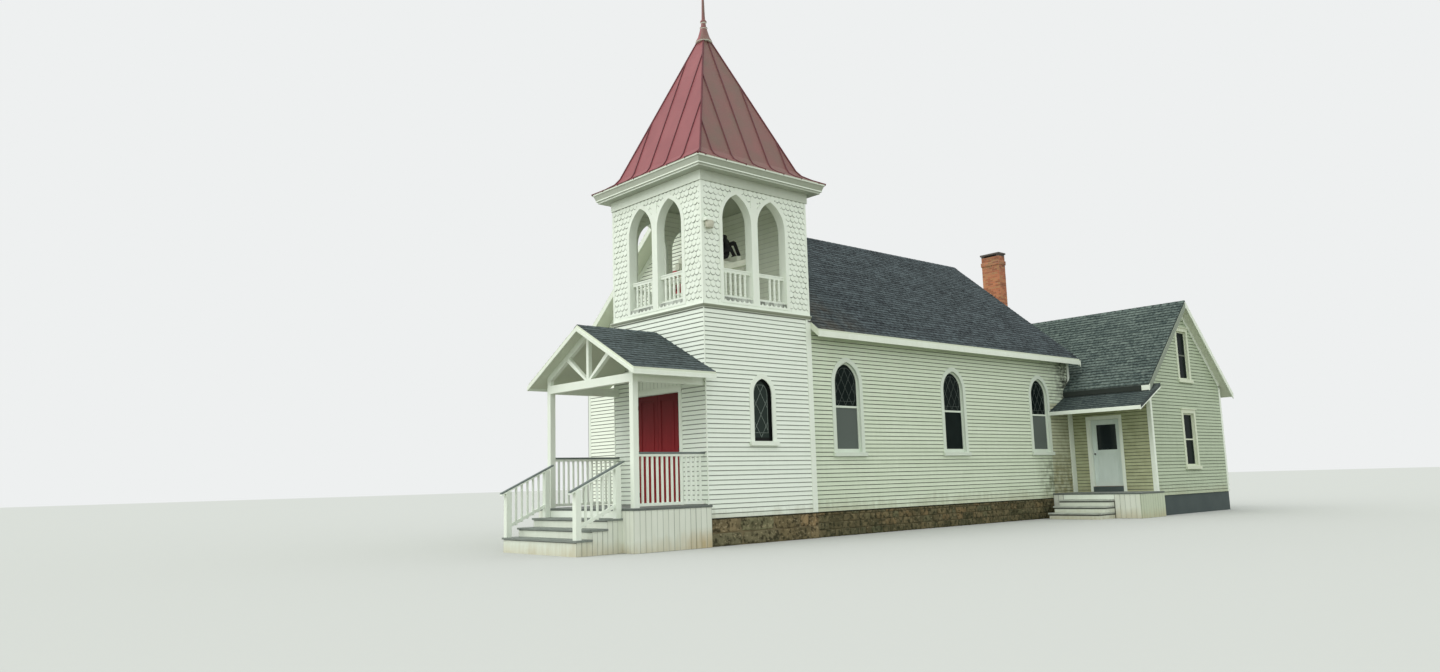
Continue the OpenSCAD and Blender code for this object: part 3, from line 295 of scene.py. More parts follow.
def shingle(dark, light, pale=0.0, course=0.78):
    """Asphalt shingles: each tab has its own tone, with speckle, a share of pale ones and a painted shadow line along
    each course, under the butts of the next.
    """
    def build(g):
        x, y, z = g.axes()
        speckle = g.noise(160.0, 2.0)
        share = g.tone() * 0.45 + g.noise(0.7, 4.0) * 0.5 + speckle * 0.4 + g.noise(13.0, 4.0) * 2.8 - 1.63
        colour = g.mix(share.clamp(), dark, light)
        if pale:
            bleached = ((g.noise(24.0, 3.0) - 1 + pale) * 9.0).clamp()
            foot = ((5.6 - y) * 0.5).clamp() * ((6.6 - z) * 0.9).clamp() * (y > 2.0)
            rusty = (g.noise(1.6, 4.0) * 3.0 - 1.1).clamp() * foot
            colour = g.coats(colour, (bleached * 0.32, (136, 142, 134)), (rusty * 0.7, (96, 84, 66)))
        pent = (y < 15.0) * (y > 13.9) * (x > 1.64) * (z < 3.95)
        # Painted shadow under the butts of the next course, as strong as course
        lap_shadow = ((g.own("Y") - 0.72) * 8.0).clamp()
        colour = g.coats(colour, (pent * 0.5, (44, 54, 58)), ((y < 0.1) * 0.22, (112, 124, 120)),
                         (lap_shadow * course, (20, 26, 26)))
        return colour, speckle * 0.15 + 0.8, (speckle, 0.002)
    return build


def roof_body(build_top, white_below):
    """A roof slab: the finish of its top, and pale paint where it faces lower than white_below."""
    def build(g):
        colour, rough, relief = build_top(g)
        return g.mix(g.facing("Z") < white_below, colour, (208, 215, 196)), rough, relief
    return build


def metal_roof(g):
    """Faded red paint; the right side has weathered brown with specks."""
    streak = g.noise(5.0, 4.0, (1, 1, 0.12))
    broad = g.noise(0.8, 2.0)
    right_side = g.facing("X") > 0.3
    colour = g.coats(
        g.mix((streak * 0.6 + broad * 0.7 - 0.2).clamp(), (124, 54, 60), (160, 92, 94)),
        (right_side * (g.noise(1.6, 4.0) * 1.1 + 0.1).clamp(), (104, 88, 74)),
        (((g.noise(34.0, 3.0) - 0.62) * 9.0).clamp() * right_side * 0.4, (146, 132, 104)),
        (g.axis("Z") < SPIRE_Z + 0.03, (158, 136, 112)), (g.facing("Z") < -0.2, (226, 230, 216)))
    return colour, streak * 0.2 + 0.4, (broad, 0.02)


def seam_red(g):
    return g.mix(g.noise(8.0, 3.0), (104, 36, 44), (82, 30, 36)), 0.5


def stone_tints_and_shadow_line(g, colour):
    """Darker and greener beside the nave and near the ground, with the siding's shadow line on top."""
    z = g.axis("Z")
    # The last layer is a painted shadow line along the top, under the siding
    return g.coats(colour, (((g.axis("Y") - 3.3) * 4.0).clamp() * 0.45, (48, 54, 34)),
                   (((0.3 - z) * 2.2).clamp() * 0.35, (72, 74, 52)),
                   (((z - 0.555) * 40.0).clamp() * 0.9, (26, 26, 20)))


def rubble(g):
    stone = g.ramp(g.tone(), (0.0, (96, 88, 62)), (0.3, (148, 132, 98)), (0.55, (116, 112, 86)),
                   (0.78, (160, 134, 96)), (1.0, (124, 124, 94)))
    mottle = g.noise(9.0, 6.0)
    colour = g.coats(stone, ((mottle * 7.0 - 3.3).clamp() * 0.85, (46, 42, 28)),
                     ((g.noise(2.8, 5.0) * 6.0 - 2.8).clamp() * 0.5, (56, 54, 36)),
                     ((g.noise(13.0, 5.0, (1, 1, 1.6)) * 6.0 - 3.4).clamp() * 0.75, (176, 162, 128)))
    return stone_tints_and_shadow_line(g, colour), mottle * 0.2 + 0.75, (mottle, 0.03)


def mortar(g):
    grit = g.noise(40.0, 4.0)
    return stone_tints_and_shadow_line(g, g.mix(grit, (92, 84, 62), (140, 128, 98))), 0.92, (grit, 0.01)


def block_paint(g):
    course = g.noise(26.0, 4.0)
    share = (g.noise(1.4, 3.0) * 0.6 + course * 0.4).clamp()
    return g.mix(share, (44, 58, 58), (80, 92, 90)), course * 0.2 + 0.68, (course, 0.006)


def brick_face(g):
    fired = g.ramp(g.tone(), (0.0, (140, 88, 60)), (0.4, (186, 112, 78)), (0.7, (200, 132, 92)),
                   (1.0, (172, 132, 88)))
    grit = g.noise(55.0, 4.0)
    sooty = ((g.axis("Z") - 8.6) * 1.2).clamp() * (g.noise(6.0, 3.0) * 1.6 - 0.4).clamp()
    colour = g.coats(fired, ((grit * 0.6 - 0.1).clamp(), (126, 84, 60)), (sooty, (96, 70, 58)))
    return colour, grit * 0.15 + 0.78, (grit, 0.003)


def chimney_core(g):
    """Pale joints behind the bricks, and a dark slab on top."""
    grit = g.noise(50.0, 4.0)
    joint, stone = g.mix(grit, (160, 122, 96), (186, 156, 130)), g.mix(grit, (62, 56, 52), (104, 98, 92))
    return g.mix(g.axis("Z") > CHIMNEY_Z + 0.005, joint, stone), 0.88, (grit, 0.004)


def boards_floor(g):
    row = g.math("FLOOR", g.axis("X") / 0.09)
    shade = g.add("ShaderNodeTexWhiteNoise", {"W": row}, {"noise_dimensions": "1D"}, out="Value")
    grain = g.noise(24.0, 4.0, (1, 0.08, 1))
    colour = g.mix((shade * 0.5 + grain * 0.5).clamp(), (128, 96, 64), (168, 132, 92))
    return colour, grain * 0.2 + 0.45, (grain, 0.001)


def old_timber(light, dark):
    def build(g):
        grain = g.noise(20.0, 5.0, (0.25, 0.25, 1))
        share = (grain * 0.7 + g.noise(4.0, 2.0) * 0.5 - 0.1 + g.tone() * 0.2).clamp()
        return g.mix(share, light, dark), grain * 0.2 + 0.65, (grain, 0.004)
    return build


def door_red(g):
    """Red boards with painted shade darkening the upper part under the porch roof, and dark hardware near the hinges.
    """
    streak = g.noise(12.0, 3.0, (1, 1, 0.2))
    hardware = (g.axis("Y") < -0.0195) * (g.absolute(g.axis("X")) < 0.12)
    shaded = ((g.axis("Z") + DOOR_Z - 2.1) * 0.8).clamp()
    colour = g.coats(g.mix(streak, (144, 38, 43), (120, 32, 36)), (shaded * 0.85, (80, 32, 32)),
                     (hardware, (52, 46, 40)))
    return colour, streak * 0.1 + 0.5, (streak, 0.001)


def door_white(g):
    """The half-glass side door: paint, dark glass in its opening and a dark knob."""
    x, y, z = g.axes()
    pane = (x > 2.353) * (x < 2.995) * (z > 2.024) * (z < 2.806) * (y > 15.6) * (y < 15.615)
    knob = (y < 15.584) * (x < 2.45)
    streak = g.noise(10.0, 3.0, (1, 1, 0.25))
    colour = g.coats(g.mix(streak, (220, 232, 226), (202, 216, 208)), (pane, (30, 38, 40)),
                     (knob, (40, 36, 34)))
    return colour, (1 - pane) * 0.38 + 0.05, (streak * (1 - pane), 0.001)


def old_glass(g):
    """Dark glass; the lower sashes of two nave windows on each side are greyer, and so are the lancets."""
    y = g.axis("Y")
    middle = (y > 7.0) * (y < 11.0)
    grey = (g.axis("Z") < 3.11) * (y > 3.6) * (y < 15.0) * (1 - middle)
    colour = g.mix((g.noise(3.0, 2.0) * 0.8).clamp(), (12, 20, 19), (30, 40, 37))
    return g.coats(colour, (grey, (94, 102, 97)), (y < 2.5, (48, 57, 53))), grey * 0.4 + 0.16


def on_frames(g):
    """Window frames: dark paint on the lancets' sashes, which also covers their reveals as painted shade; dark inside
    the wing's upper windows; creamy on the wing.
    """
    x, y, z = g.axes()
    lancets = (y < 3.4) * (g.absolute(x) < 1.6885) * (g.absolute(y - 1.69) < 0.3095) * (z > 2.262)
    upper = (g.absolute(y - WING_MID) < 0.3) * (z > 4.25) * (z < 5.7) * (x < 4.18)
    return (((y > 3.4) * (y < 15.3) * 0.45, (186, 200, 182)), ((y > 15.3) * 0.8, (204, 212, 186)),
            (lancets, (8, 12, 10)), (upper * 0.85, (52, 60, 54)))


def on_cornice(g):
    """Cornice and belt: painted shade on the faces that look down and on the belt's lower cove; the right side is
    darker too, with dirt and painted shade.
    """
    cove = (g.axis("Z") < BELT_Z + 0.07) * (g.facing("Z") < 0.6)
    return (((g.facing("Z") * -2.4).clamp() * 0.6, (118, 124, 100)),
            ((g.facing("X") > 0.5) * 0.4, (124, 132, 106)), (cove * 0.45, (128, 134, 112)))


def on_rails(g):
    """Weathered grey caps on the handrails, level on the deck and sloping on the stair."""
    y, z = g.axis("Y"), g.axis("Z")
    level = (z > RAIL_CAP_Z) * (y > STAIR_TOP_Y)
    slope = (STAIR_RAIL_Z[1] - STAIR_RAIL_Z[0]) / (STAIR_TOP_Y - STAIR_LOW_Y)
    sloping = (z - STAIR_RAIL_Z[0] - (y - STAIR_LOW_Y) * slope > 0.03) * (y < STAIR_TOP_Y + 0.24)
    grain = g.noise(20.0, 4.0, (1, 0.2, 1))
    return (((level + sloping).clamp(), g.mix(grain, (120, 132, 128), (82, 92, 88))),)


def on_edges(g):
    """Roof boards: the wing's front rake is painted a darker grey-green, and its eave board above the pent roof is
    painted nearly black as shade.
    """
    x, y, z = g.axes()
    rake = (x > 4.3) * (y > 15.06) * (y < 18.0)
    # Painted shade: the eave board above the pent roof is made nearly black
    dark_patch = (y > 14.9) * (y < 15.06) * (x > 1.6) * (x < 4.2) * (z > 3.6) * (z < 4.1)
    return (rake * 0.8, (100, 112, 94)), (dark_patch * 0.97, (18, 28, 25))


def iron(g):
    rust = g.noise(16.0, 4.0)
    return g.mix((rust * 1.6 - 0.6).clamp(), (34, 36, 40), (62, 50, 44)), rust * 0.3 + 0.4, (rust, 0.003)


def vent_red(g):
    streak = g.noise(12.0, 3.0, (1, 1, 0.3))
    return g.mix(streak, (178, 44, 44), (148, 34, 36)), streak * 0.15 + 0.45, (streak, 0.001)


def lead(g):
    """Dull strips, paler in the tower's lancets."""
    dull = g.noise(30.0, 2.0)
    colour = g.coats(g.mix(dull, (96, 106, 100), (64, 72, 68)), ((g.axis("Y") < 3.4) * 0.8, (142, 154, 146)))
    return colour, dull * 0.2 + 0.5


def treads(top, step, nosing, shade):
    """A flight of three treads, found by height: nosings in one colour, the shade under each, painted risers."""
    def build(g):
        colour, rough, relief = paint((226, 232, 218), (198, 204, 188), None, None, STAIN, 0.0, 0.3)(g)
        z = g.axis("Z")
        phase = g.math("FRACT", (z - top - 0.003) / step) * step
        flight = (z < top) * (z > top - 3 * step - 0.12)
        under = step - 0.043
        board = (phase > under) * flight
        shadow = (phase < under) * (phase > step - 0.04 - shade) * flight
        grain = g.noise(20.0, 4.0, (0.2, 1, 1))
        return g.coats(colour, (board, g.mix(grain, nosing, (96, 104, 98))),
                       (shadow * 0.88, (32, 38, 34))), rough, relief
    return build


def deck_core(g):
    """The deck behind its boards: dark joints, and grey weathered edges at the top."""
    grain = g.noise(20.0, 4.0)
    edge = (g.axis("Z") > 0.66) * (g.axis("Y") > 5.0) + (g.axis("Z") > 0.82)
    return g.mix(edge.clamp(), (92, 94, 80), g.mix(grain, (112, 120, 114), (78, 86, 80))), 0.8


SHINE = "Specular IOR Level"
CONSTANTS = {
    "edge_paint": {SHINE: 0.15}, "frame_paint": {SHINE: 0.2}, "dark_tabs": {SHINE: 0.2},
    "grey_tabs": {SHINE: 0.2}, "metal_roof": {"Coat Weight": 0.05}, "rubble": {SHINE: 0.15},
    "mortar": {SHINE: 0.15}, "door_red": {SHINE: 0.1}, "door_white": {SHINE: 0.35},
    "old_glass": {SHINE: 0.1, "IOR": 1.2}, "lead": {"Metallic": 0.5},
}
BUILDS = {
    "trim_paint": paint(WHITE, (218, 225, 210)),
    "edge_paint": over_white((212, 218, 200), on_edges),
    "rail_paint": over_white((214, 222, 206), on_rails),
    "frame_paint": over_white((218, 225, 210), on_frames),
    "cornice_paint": over_white((216, 224, 208), on_cornice),
    "sill_grey": old_timber((82, 94, 92), (60, 70, 68)),
    "tower_paint": paint(WHITE, (222, 231, 217), lap_shadow_lines(0.78), None, GRIME, 0.6, 0.25),
    "scale_paint": paint(WHITE, (220, 228, 212), scale_lines),
    "panel_paint": paint(WHITE, (220, 228, 212), board_lines),
    "nave_paint": paint((216, 227, 204), (196, 209, 182), lap_shadow_lines(0.93), nave_stains, GRIME, 0.6, 0.3),
    # The wing's paint is darker and greener than the nave's: partly its own tone, partly painted shade.
    "wing_paint": paint((184, 198, 170), (160, 174, 146), lap_shadow_lines(0.9), wing_stains, GRIME, 0.6, 0.4),
    "deck_paint": paint((226, 231, 218), (204, 210, 194), board_lines, deck_stains, STAIN, 0.02, 0.3),
    "porch_treads": treads(FLOOR_Z, STEP_RISE, (140, 148, 140), 0.018),
    "side_treads": treads(DECK_Z, DECK_Z / 4, (224, 230, 216), 0.045),
    "belfry_boards": old_timber((236, 238, 226), (206, 208, 194)),
    "lamp_tan": paint((206, 206, 188), (170, 168, 148)),
    "deck_grey": old_timber((150, 156, 150), (104, 110, 106)),
    "dark_tabs": shingle((36, 43, 46), (84, 95, 98), 0.34, 0.6),
    "grey_tabs": shingle((56, 69, 67), (106, 119, 112), 0.26, 0.9),
    "dark_roof": roof_body(shingle((36, 42, 44), (62, 70, 72)), 0.3),
    "grey_roof": roof_body(shingle((54, 64, 62), (86, 96, 90)), -0.3),
    "bell_timber": old_timber((240, 243, 228), (206, 210, 190)),
    "inner_boards": paint((242, 247, 234), (222, 229, 210), faint_lines),
}
for build in (metal_roof, seam_red, rubble, mortar, block_paint, brick_face, chimney_core, boards_floor,
              door_red, door_white, old_glass, iron, vent_red, lead, deck_core):
    BUILDS[build.__name__] = build
LOOKS = {name: finish(name, build, CONSTANTS.get(name, {})) for name, build in BUILDS.items()}

NODES_BY_LOOK = {
    "mortar": "stone_foundation", "block_paint": "wing_foundation", "boards_floor": "nave_floor wing_floor",
    "belfry_boards": "belfry_floor", "metal_roof": "spire_roof finial", "bell_timber": "bell_beams",
    "iron": "bell_stands bell door_hinges", "vent_red": "gable_vent", "chimney_core": "chimney",
    "dark_roof": "nave_roof_right nave_roof_left porch_roof", "grey_roof": "wing_roof pent_roof",
    "deck_core": "side_deck porch_deck", "side_treads": "side_steps", "porch_treads": "porch_steps",
    "rail_paint": "porch_railings", "edge_paint": "roof_edge_boards", "door_white": "side_door",
    "door_red": "front_door_left front_door_right", "old_glass": "window_glass",
    "frame_paint": "window_frames", "cornice_paint": "belfry_frieze belfry_cornice tower_belt",
}
look_of = {node_name: look for look, names in NODES_BY_LOOK.items() for node_name in names.split()}
for node_name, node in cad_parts.items():
    look = LOOKS[look_of.get(node_name, "trim_paint")]
    if not node.material_slots:
        node.data.materials.append(look)
    for material_slot in node.material_slots:
        material_slot.material = look


# ---- Geometry Nodes trees


def new_tree(name, *sockets):
    tree = bpy.data.node_groups.new(name, "GeometryNodeTree")
    tree.interface.new_socket("Geometry", in_out="INPUT", socket_type="NodeSocketGeometry")
    names = {}
    for label, kind in sockets:
        names[label] = tree.interface.new_socket(label, in_out="INPUT", socket_type=kind).identifier
    tree.interface.new_socket("Geometry", in_out="OUTPUT", socket_type="NodeSocketGeometry")
    g = Graph(tree)
    entry = tree.nodes.new("NodeGroupInput")
    return g, (lambda label: Wire(g, entry.outputs[label])), names


def end_tree(g, geometry, look):
    real = g.add("GeometryNodeRealizeInstances", {0: geometry})
    made = g.add("GeometryNodeSetMaterial", {"Geometry": real, "Material": look})
    g.add("NodeGroupOutput", {0: made})


def laying_tree():
    """Lays one shape at each point, with the point's own size and turn, a small shift and a random tone."""
    g, given, names = new_tree(
        "lay_pieces", ("Shape", "NodeSocketObject"), ("Unevenness", "NodeSocketFloat"),
        ("Seed", "NodeSocketInt"), ("Look", "NodeSocketMaterial"))
    shape = g.add("GeometryNodeObjectInfo", {"Object": given("Shape")}, out="Geometry")
    shift = g.add("FunctionNodeRandomValue", {0: (-1, -1, -1), 1: (1, 1, 1), "Seed": given("Seed")},
                  {"data_type": "FLOAT_VECTOR"})
    shift = g.add("ShaderNodeVectorMath", {0: shift, "Scale": given("Unevenness")}, {"operation": "SCALE"})
    points = g.add("GeometryNodeSetPosition", {"Geometry": given("Geometry"), "Offset": shift})
    next_seed = g.add("ShaderNodeMath", {0: given("Seed"), 1: 1.0})
    tone = g.add("FunctionNodeRandomValue", {2: 0.0, 3: 1.0, "Seed": next_seed}, {"data_type": "FLOAT"}, out=1)
    points = g.add("GeometryNodeStoreNamedAttribute", {"Geometry": points, "Name": "tone", "Value": tone},
                   {"data_type": "FLOAT", "domain": "POINT"})
    spin, size = (g.add("GeometryNodeInputNamedAttribute", {"Name": key}, {"data_type": "FLOAT_VECTOR"})
                  for key in ("spin", "size"))
    turn = g.add("FunctionNodeEulerToRotation", {0: spin})
    laid = g.add("GeometryNodeInstanceOnPoints",
                 {"Points": points, "Instance": shape, "Rotation": turn, "Scale": size})
    end_tree(g, laid, given("Look"))
    return g.tree, names


def running_tree():
    """Runs a small rectangular section along the mesh's edges."""
    g, given, names = new_tree("run_along", ("Width", "NodeSocketFloat"), ("Height", "NodeSocketFloat"),
                               ("Look", "NodeSocketMaterial"))
    line = g.add("GeometryNodeMeshToCurve", {"Mesh": given("Geometry")})
    section = g.add("GeometryNodeCurvePrimitiveQuadrilateral",
                    {"Width": given("Width"), "Height": given("Height")}, {"mode": "RECTANGLE"})
    run = g.add("GeometryNodeCurveToMesh", {"Curve": line, "Profile Curve": section, "Fill Caps": True})
    end_tree(g, run, given("Look"))
    return g.tree, names


LAYING, RUNNING = laying_tree(), running_tree()


def new_mesh(name, points, edges=(), faces=()):
    mesh = bpy.data.meshes.new(name)
    mesh.from_pydata(points, edges, faces)
    return mesh


def new_object(name, data):
    made = bpy.data.objects.new(name, data)
    scene.collection.objects.link(made)
    return made


def add_vectors(mesh, name, values):
    flat = np.array(values, np.float32).ravel()
    mesh.attributes.new(name, "FLOAT_VECTOR", "POINT").data.foreach_set("vector", flat)


def settle(piece, slot):
    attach(piece, BUILDING)


def grow(name, mesh, tree, slot, values):
    """Puts a tree on a mesh, keeps what it makes as a plain mesh and takes the modifier off."""
    tree, names = tree
    holder = new_object(name, mesh)
    modifier = holder.modifiers.new("grow", "NODES")
    modifier.node_group = tree
    for label, value in values.items():
        modifier[names[label]] = value
    graph = bpy.context.evaluated_depsgraph_get()
    made = bpy.data.meshes.new_from_object(holder.evaluated_get(graph), preserve_all_data_layers=True,
                                           depsgraph=graph)
    holder.modifiers.remove(modifier)
    holder.data = made
    settle(holder, slot)


def lay(name, places, shape, look, slot, seed, unevenness=0.0):
    """places: (position, size, spin) for each copy of shape, a list of points and faces."""
    mesh = new_mesh(name, [p[0] for p in places])
    add_vectors(mesh, "size", [p[1] for p in places])
    add_vectors(mesh, "spin", [p[2] for p in places])
    solid = new_mesh(name + "_shape", shape[0], [], shape[1])
    add_vectors(solid, "own", shape[0])
    pattern = new_object(name + "_shape", solid)
    grow(name, mesh, LAYING, slot,
         {"Shape": pattern, "Unevenness": unevenness, "Seed": seed, "Look": LOOKS[look]})
    bpy.data.objects.remove(pattern)


def run_along(name, lines, width, height, look, slot):
    """lines: runs of points, each joined end to end."""
    points, edges = [], []
    for line in lines:
        edges += [(len(points) + i, len(points) + i + 1) for i in range(len(line) - 1)]
        points += line
    grow(name, new_mesh(name, points, edges), RUNNING, slot,
         {"Width": width, "Height": height, "Look": LOOKS[look]})


# ---- Places on the walls and roofs


def on_wall(turn, at, s, z, out=0.0):
    """Point on a wall that faces front (0), right (90), left (-90) or back (180); s runs to its own right."""
    return {0: (s, at - out, z), 90: (at + out, s, z), -90: (at - out, -s, z), 180: (-s, at + out, z)}[turn]


def spin_of(turn, lean=0.0):
    return (lean, 0.0, math.radians(turn))


def each(maker, *calls):
    """What a maker gives for several calls, in one list."""
    return [made for call in calls for made in maker(*call)]


class Pointed:
    """A pointed opening."""

    def __init__(self, s, *shape):
        self.s, self.shape = s, shape
        self.width, self.bottom, self.spring, self.height = shape
        self.radius = (self.height * self.height + self.width * self.width / 4) / self.width

    def half(self, z, more=0.0):
        if z < self.bottom - more:
            return 0.0
        if z <= self.spring:
            return self.width / 2 + more
        up, reach = z - self.spring, self.radius + more
        if up >= reach:
            return 0.0
        return max(0.0, math.sqrt(reach * reach - up * up) - (self.radius - self.width / 2))


class Square:
    """A straight-sided opening."""

    def __init__(self, s, *shape):
        self.s, self.shape = s, shape

    def half(self, z, more=0.0):
        half_width, bottom, top = self.shape
        return half_width + more if bottom - more < z < top + more else 0.0


def flip(holes):
    """The same openings seen from the other side of the building."""
    return [type(hole)(-hole.s, *hole.shape) for hole in holes]


def spans(s0, s1, z, holes, more):
    """The parts of a row from s0 to s1 that the openings leave."""
    kept = [(s0, s1)]
    for hole in holes:
        half = hole.half(z, more)
        if half > 0:
            a, b = hole.s - half, hole.s + half
            kept = [p for lo, hi in kept for p in ((lo, min(hi, a)), (max(lo, b), hi)) if p[1] - p[0] > 0.03]
    return kept


def ring_faces(n):
    """Quads between two loops of n points."""
    return [(i, (i + 1) % n, n + (i + 1) % n, n + i) for i in range(n)]


def prism(outline, depth):
    """Points and faces of a closed outline in x and z that stands out by depth(z) towards -y."""
    n = len(outline)
    points = [(x, 0.0, z) for x, z in outline] + [(x, -depth(z), z) for x, z in outline]
    return points, [tuple(range(n - 1, -1, -1)), tuple(range(n, 2 * n))] + ring_faces(n)


CLAPBOARD = prism([(0, 0), (1, 0), (1, 0.74), (1, 1), (0, 1), (0, 0.74)], lambda z: 0.021 - 0.017 * z)
FLAT_BOARD = prism([(0, 0), (1, 0), (1, 1), (0, 1)], lambda z: 1.0)
EXPOSURE, LONGEST_BOARD, BOARD_GAP, HOLE_MARGIN = 0.1016, 4.9, 0.0015, 0.05
rng = np.random.default_rng(11)


def clapboards(turn, at, s0, s1, z0, z1, holes=(), gable=None):
    """Places of lapped boards; gable is (middle, half width at height z)."""
    rows = max(1, round((z1 - z0) / EXPOSURE))
    exposure = (z1 - z0) / rows
    places = []
    for row in range(rows):
        z = z0 + row * exposure
        lo, hi = s0, s1
        if gable:
            half = gable[1](z + exposure)
            lo, hi = max(lo, gable[0] - half), min(hi, gable[0] + half)
        if hi - lo < 0.05:
            continue
        for a, b in spans(lo, hi, z + exposure / 2, holes, HOLE_MARGIN):
            cuts = [a]
            while b - cuts[-1] > LONGEST_BOARD:
                cuts.append(cuts[-1] + rng.uniform(2.2, 4.3))
            cuts.append(b)
            places += [(on_wall(turn, at, c, z), (d - c - BOARD_GAP, 1, exposure), spin_of(turn))
                       for c, d in zip(cuts, cuts[1:])]
    return places


def gable_of(middle, half_width, wall_z, pitch):
    top = wall_z + rise(half_width, pitch)
    return middle, (lambda z: min(half_width, (top - z) / math.tan(pitch)))


def clad(name, look, seed, *walls):
    lay(name, each(clapboards, *walls), CLAPBOARD, look, "white_wood", seed, 0.0008)


lancet = [Pointed(1.69, 0.62, 2.25, 3.33, 0.37)]
PANEL_TOP = 4.3
front_door = [Square(0, 0.8, SIDING_Z, PANEL_TOP)]
clad("tower_clapboards", "tower_paint", 3,
     (0, 0.0, -TOWER_HALF, TOWER_HALF, SIDING_Z, BELT_Z, front_door),
     (90, TOWER_HALF, -0.02, TOWER_D - 0.16, SIDING_Z, BELT_Z, lancet),
     (-90, -TOWER_HALF, -NAVE_Y0, 0.02, SIDING_Z, BELT_Z, flip(lancet)))

nave_windows = [Pointed(y, 0.96, 2.0, 3.7, 0.565) for y in NAVE_WINDOWS]
nave_gable = gable_of(NAVE_MID, NAVE_HALF, NAVE_WALL_Z, NAVE_PITCH)
vent = [Square(NAVE_MID, 0.24, 6.45, 7.09)]
clad("nave_clapboards", "nave_paint", 5,
     (90, NAVE_X1, TOWER_D, NAVE_Y1 - 0.12, SIDING_Z, NAVE_WALL_Z, nave_windows),
     (-90, NAVE_X0, -NAVE_Y1, -NAVE_Y0 - 0.1, SIDING_Z, NAVE_WALL_Z, flip(nave_windows)),
     (0, NAVE_Y0, NAVE_X0 + 0.1, -TOWER_HALF, SIDING_Z, 8.5, vent, nave_gable),
     (180, NAVE_Y1, -NAVE_X1 + 0.1, -NAVE_X0 - 0.1, 4.3, 8.5, (), (-nave_gable[0], nave_gable[1])))

wing_gable = gable_of(WING_MID, WING_HALF, WING_WALL_Z, WING_PITCH)
side_door = [Square(2.674, 0.475, SIDING_Z, 2.96)]
wing_windows = [Square(WING_MID, 0.4, 1.45, 3.13), Square(WING_MID, 0.36, 4.18, 5.76)]
back_windows = [Square(s, 0.4, 1.45, 3.13) for s in (3.4886, -1.4425)]
clad("wing_clapboards", "wing_paint", 7,
     (0, NAVE_Y1, NAVE_X1, WING_X1 - 0.1, SIDING_Z, WING_WALL_Z, side_door),
     (90, WING_X1, NAVE_Y1 + 0.1, WING_Y1 - 0.1, SIDING_Z, 6.5, wing_windows, wing_gable),
     (-90, NAVE_X0, -WING_Y1 + 0.1, -NAVE_Y1 - 0.1, SIDING_Z, 6.5, flip(wing_windows),
      (-wing_gable[0], wing_gable[1])),
     (180, WING_Y1, -WING_X1 + 0.1, -NAVE_X0 - 0.1, SIDING_Z, WING_WALL_Z, back_windows))

# Belfry shingles with rounded butts
TAB_W, TAB_ROW, TAB_GAP = 0.145, 0.135, 0.003
belfry_height = FRIEZE_Z - BELT_TOP


def staggered(s0, s1, width, row):
    """Ends of even pieces along a row, shifted by half a width in every other row."""
    s = s0 - (width / 2 if row % 2 else 0.0)
    while s < s1 - 0.01:
        yield max(s, s0), min(s + width, s1)
        s += width


def scale_outline(steps=6):
    arc = [math.pi * i / steps for i in range(steps + 1)]
    return [(0.5 - 0.5 * math.cos(a), 0.5 - 0.5 * math.sin(a)) for a in arc] + [(1.0, 1.55), (0.0, 1.55)]


SCALE_TAB = prism(scale_outline(), lambda z: 0.02 - 0.011 * z)


def scales(turn, at, s0, s1, holes=(), keep=None):
    """Rows of tabs from the belt to the frieze."""
    rows = round(belfry_height / TAB_ROW)
    height = belfry_height / rows
    places = []
    for row in range(rows):
        z = BELT_TOP + row * height
        open_parts = spans(s0, s1, z + 0.35 * height, holes, 0.02)
        for start, end in staggered(s0, s1, TAB_W, row):
            for lo, hi in open_parts:
                a, b = max(start, lo), min(end, hi)
                if b - a > 0.02 and (keep is None or keep((a + b) / 2, z)):
                    places.append((on_wall(turn, at, a, z), (b - a - TAB_GAP, 1, height), spin_of(turn)))
    return places


def pair(middle):
    """The two openings of one belfry face."""
    return [Pointed(middle + side * PAIR_HALF, BEL_W, BEL_SILL - 0.02, BEL_SPRING, BEL_RISE) for side in (-1, 1)]


nave_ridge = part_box("nave_roof_right")[1].z


def nave_top(x):
    return nave_ridge - rise(x - NAVE_MID, NAVE_PITCH)


lay("belfry_shingles", each(
    scales, (0, 0.0, -TOWER_HALF, TOWER_HALF, pair(0.0)), (90, TOWER_HALF, 0.0, TOWER_D, pair(SIDE_PAIR_Y)),
    (-90, -TOWER_HALF, -TOWER_D, 0.0, flip(pair(SIDE_PAIR_Y)),
     lambda s, z: -s < NAVE_Y0 - 0.02 or z > nave_top(-TOWER_HALF)),
    (180, TOWER_D, -TOWER_HALF, TOWER_HALF, (), lambda s, z: z > nave_top(-s) - 0.2)),
    SCALE_TAB, "scale_paint", "white_wood", 9, 0.003)

# Boards lining the inside of the belfry
INNER = TOWER_HALF - TOWER_T


def lining(turn, at, s0, s1, holes):
    rows = [BELT_TOP + 0.04 + row * 0.125 for row in range(24)]
    return [(on_wall(turn, at, a, z), (b - a, 0.012, 0.119), spin_of(turn))
            for z in rows for a, b in spans(s0, s1, z + 0.06, holes, 0.065)]


lay("belfry_lining", each(
    lining, (0, TOWER_D - TOWER_T, -INNER, INNER, ()), (180, TOWER_T, -INNER, INNER, pair(0.0)),
    (90, -INNER, TOWER_T, TOWER_D - TOWER_T, pair(SIDE_PAIR_Y)),
    (-90, INNER, TOWER_T - TOWER_D, -TOWER_T, flip(pair(SIDE_PAIR_Y)))),
    FLAT_BOARD, "inner_boards", "white_wood", 13, 0.0015)

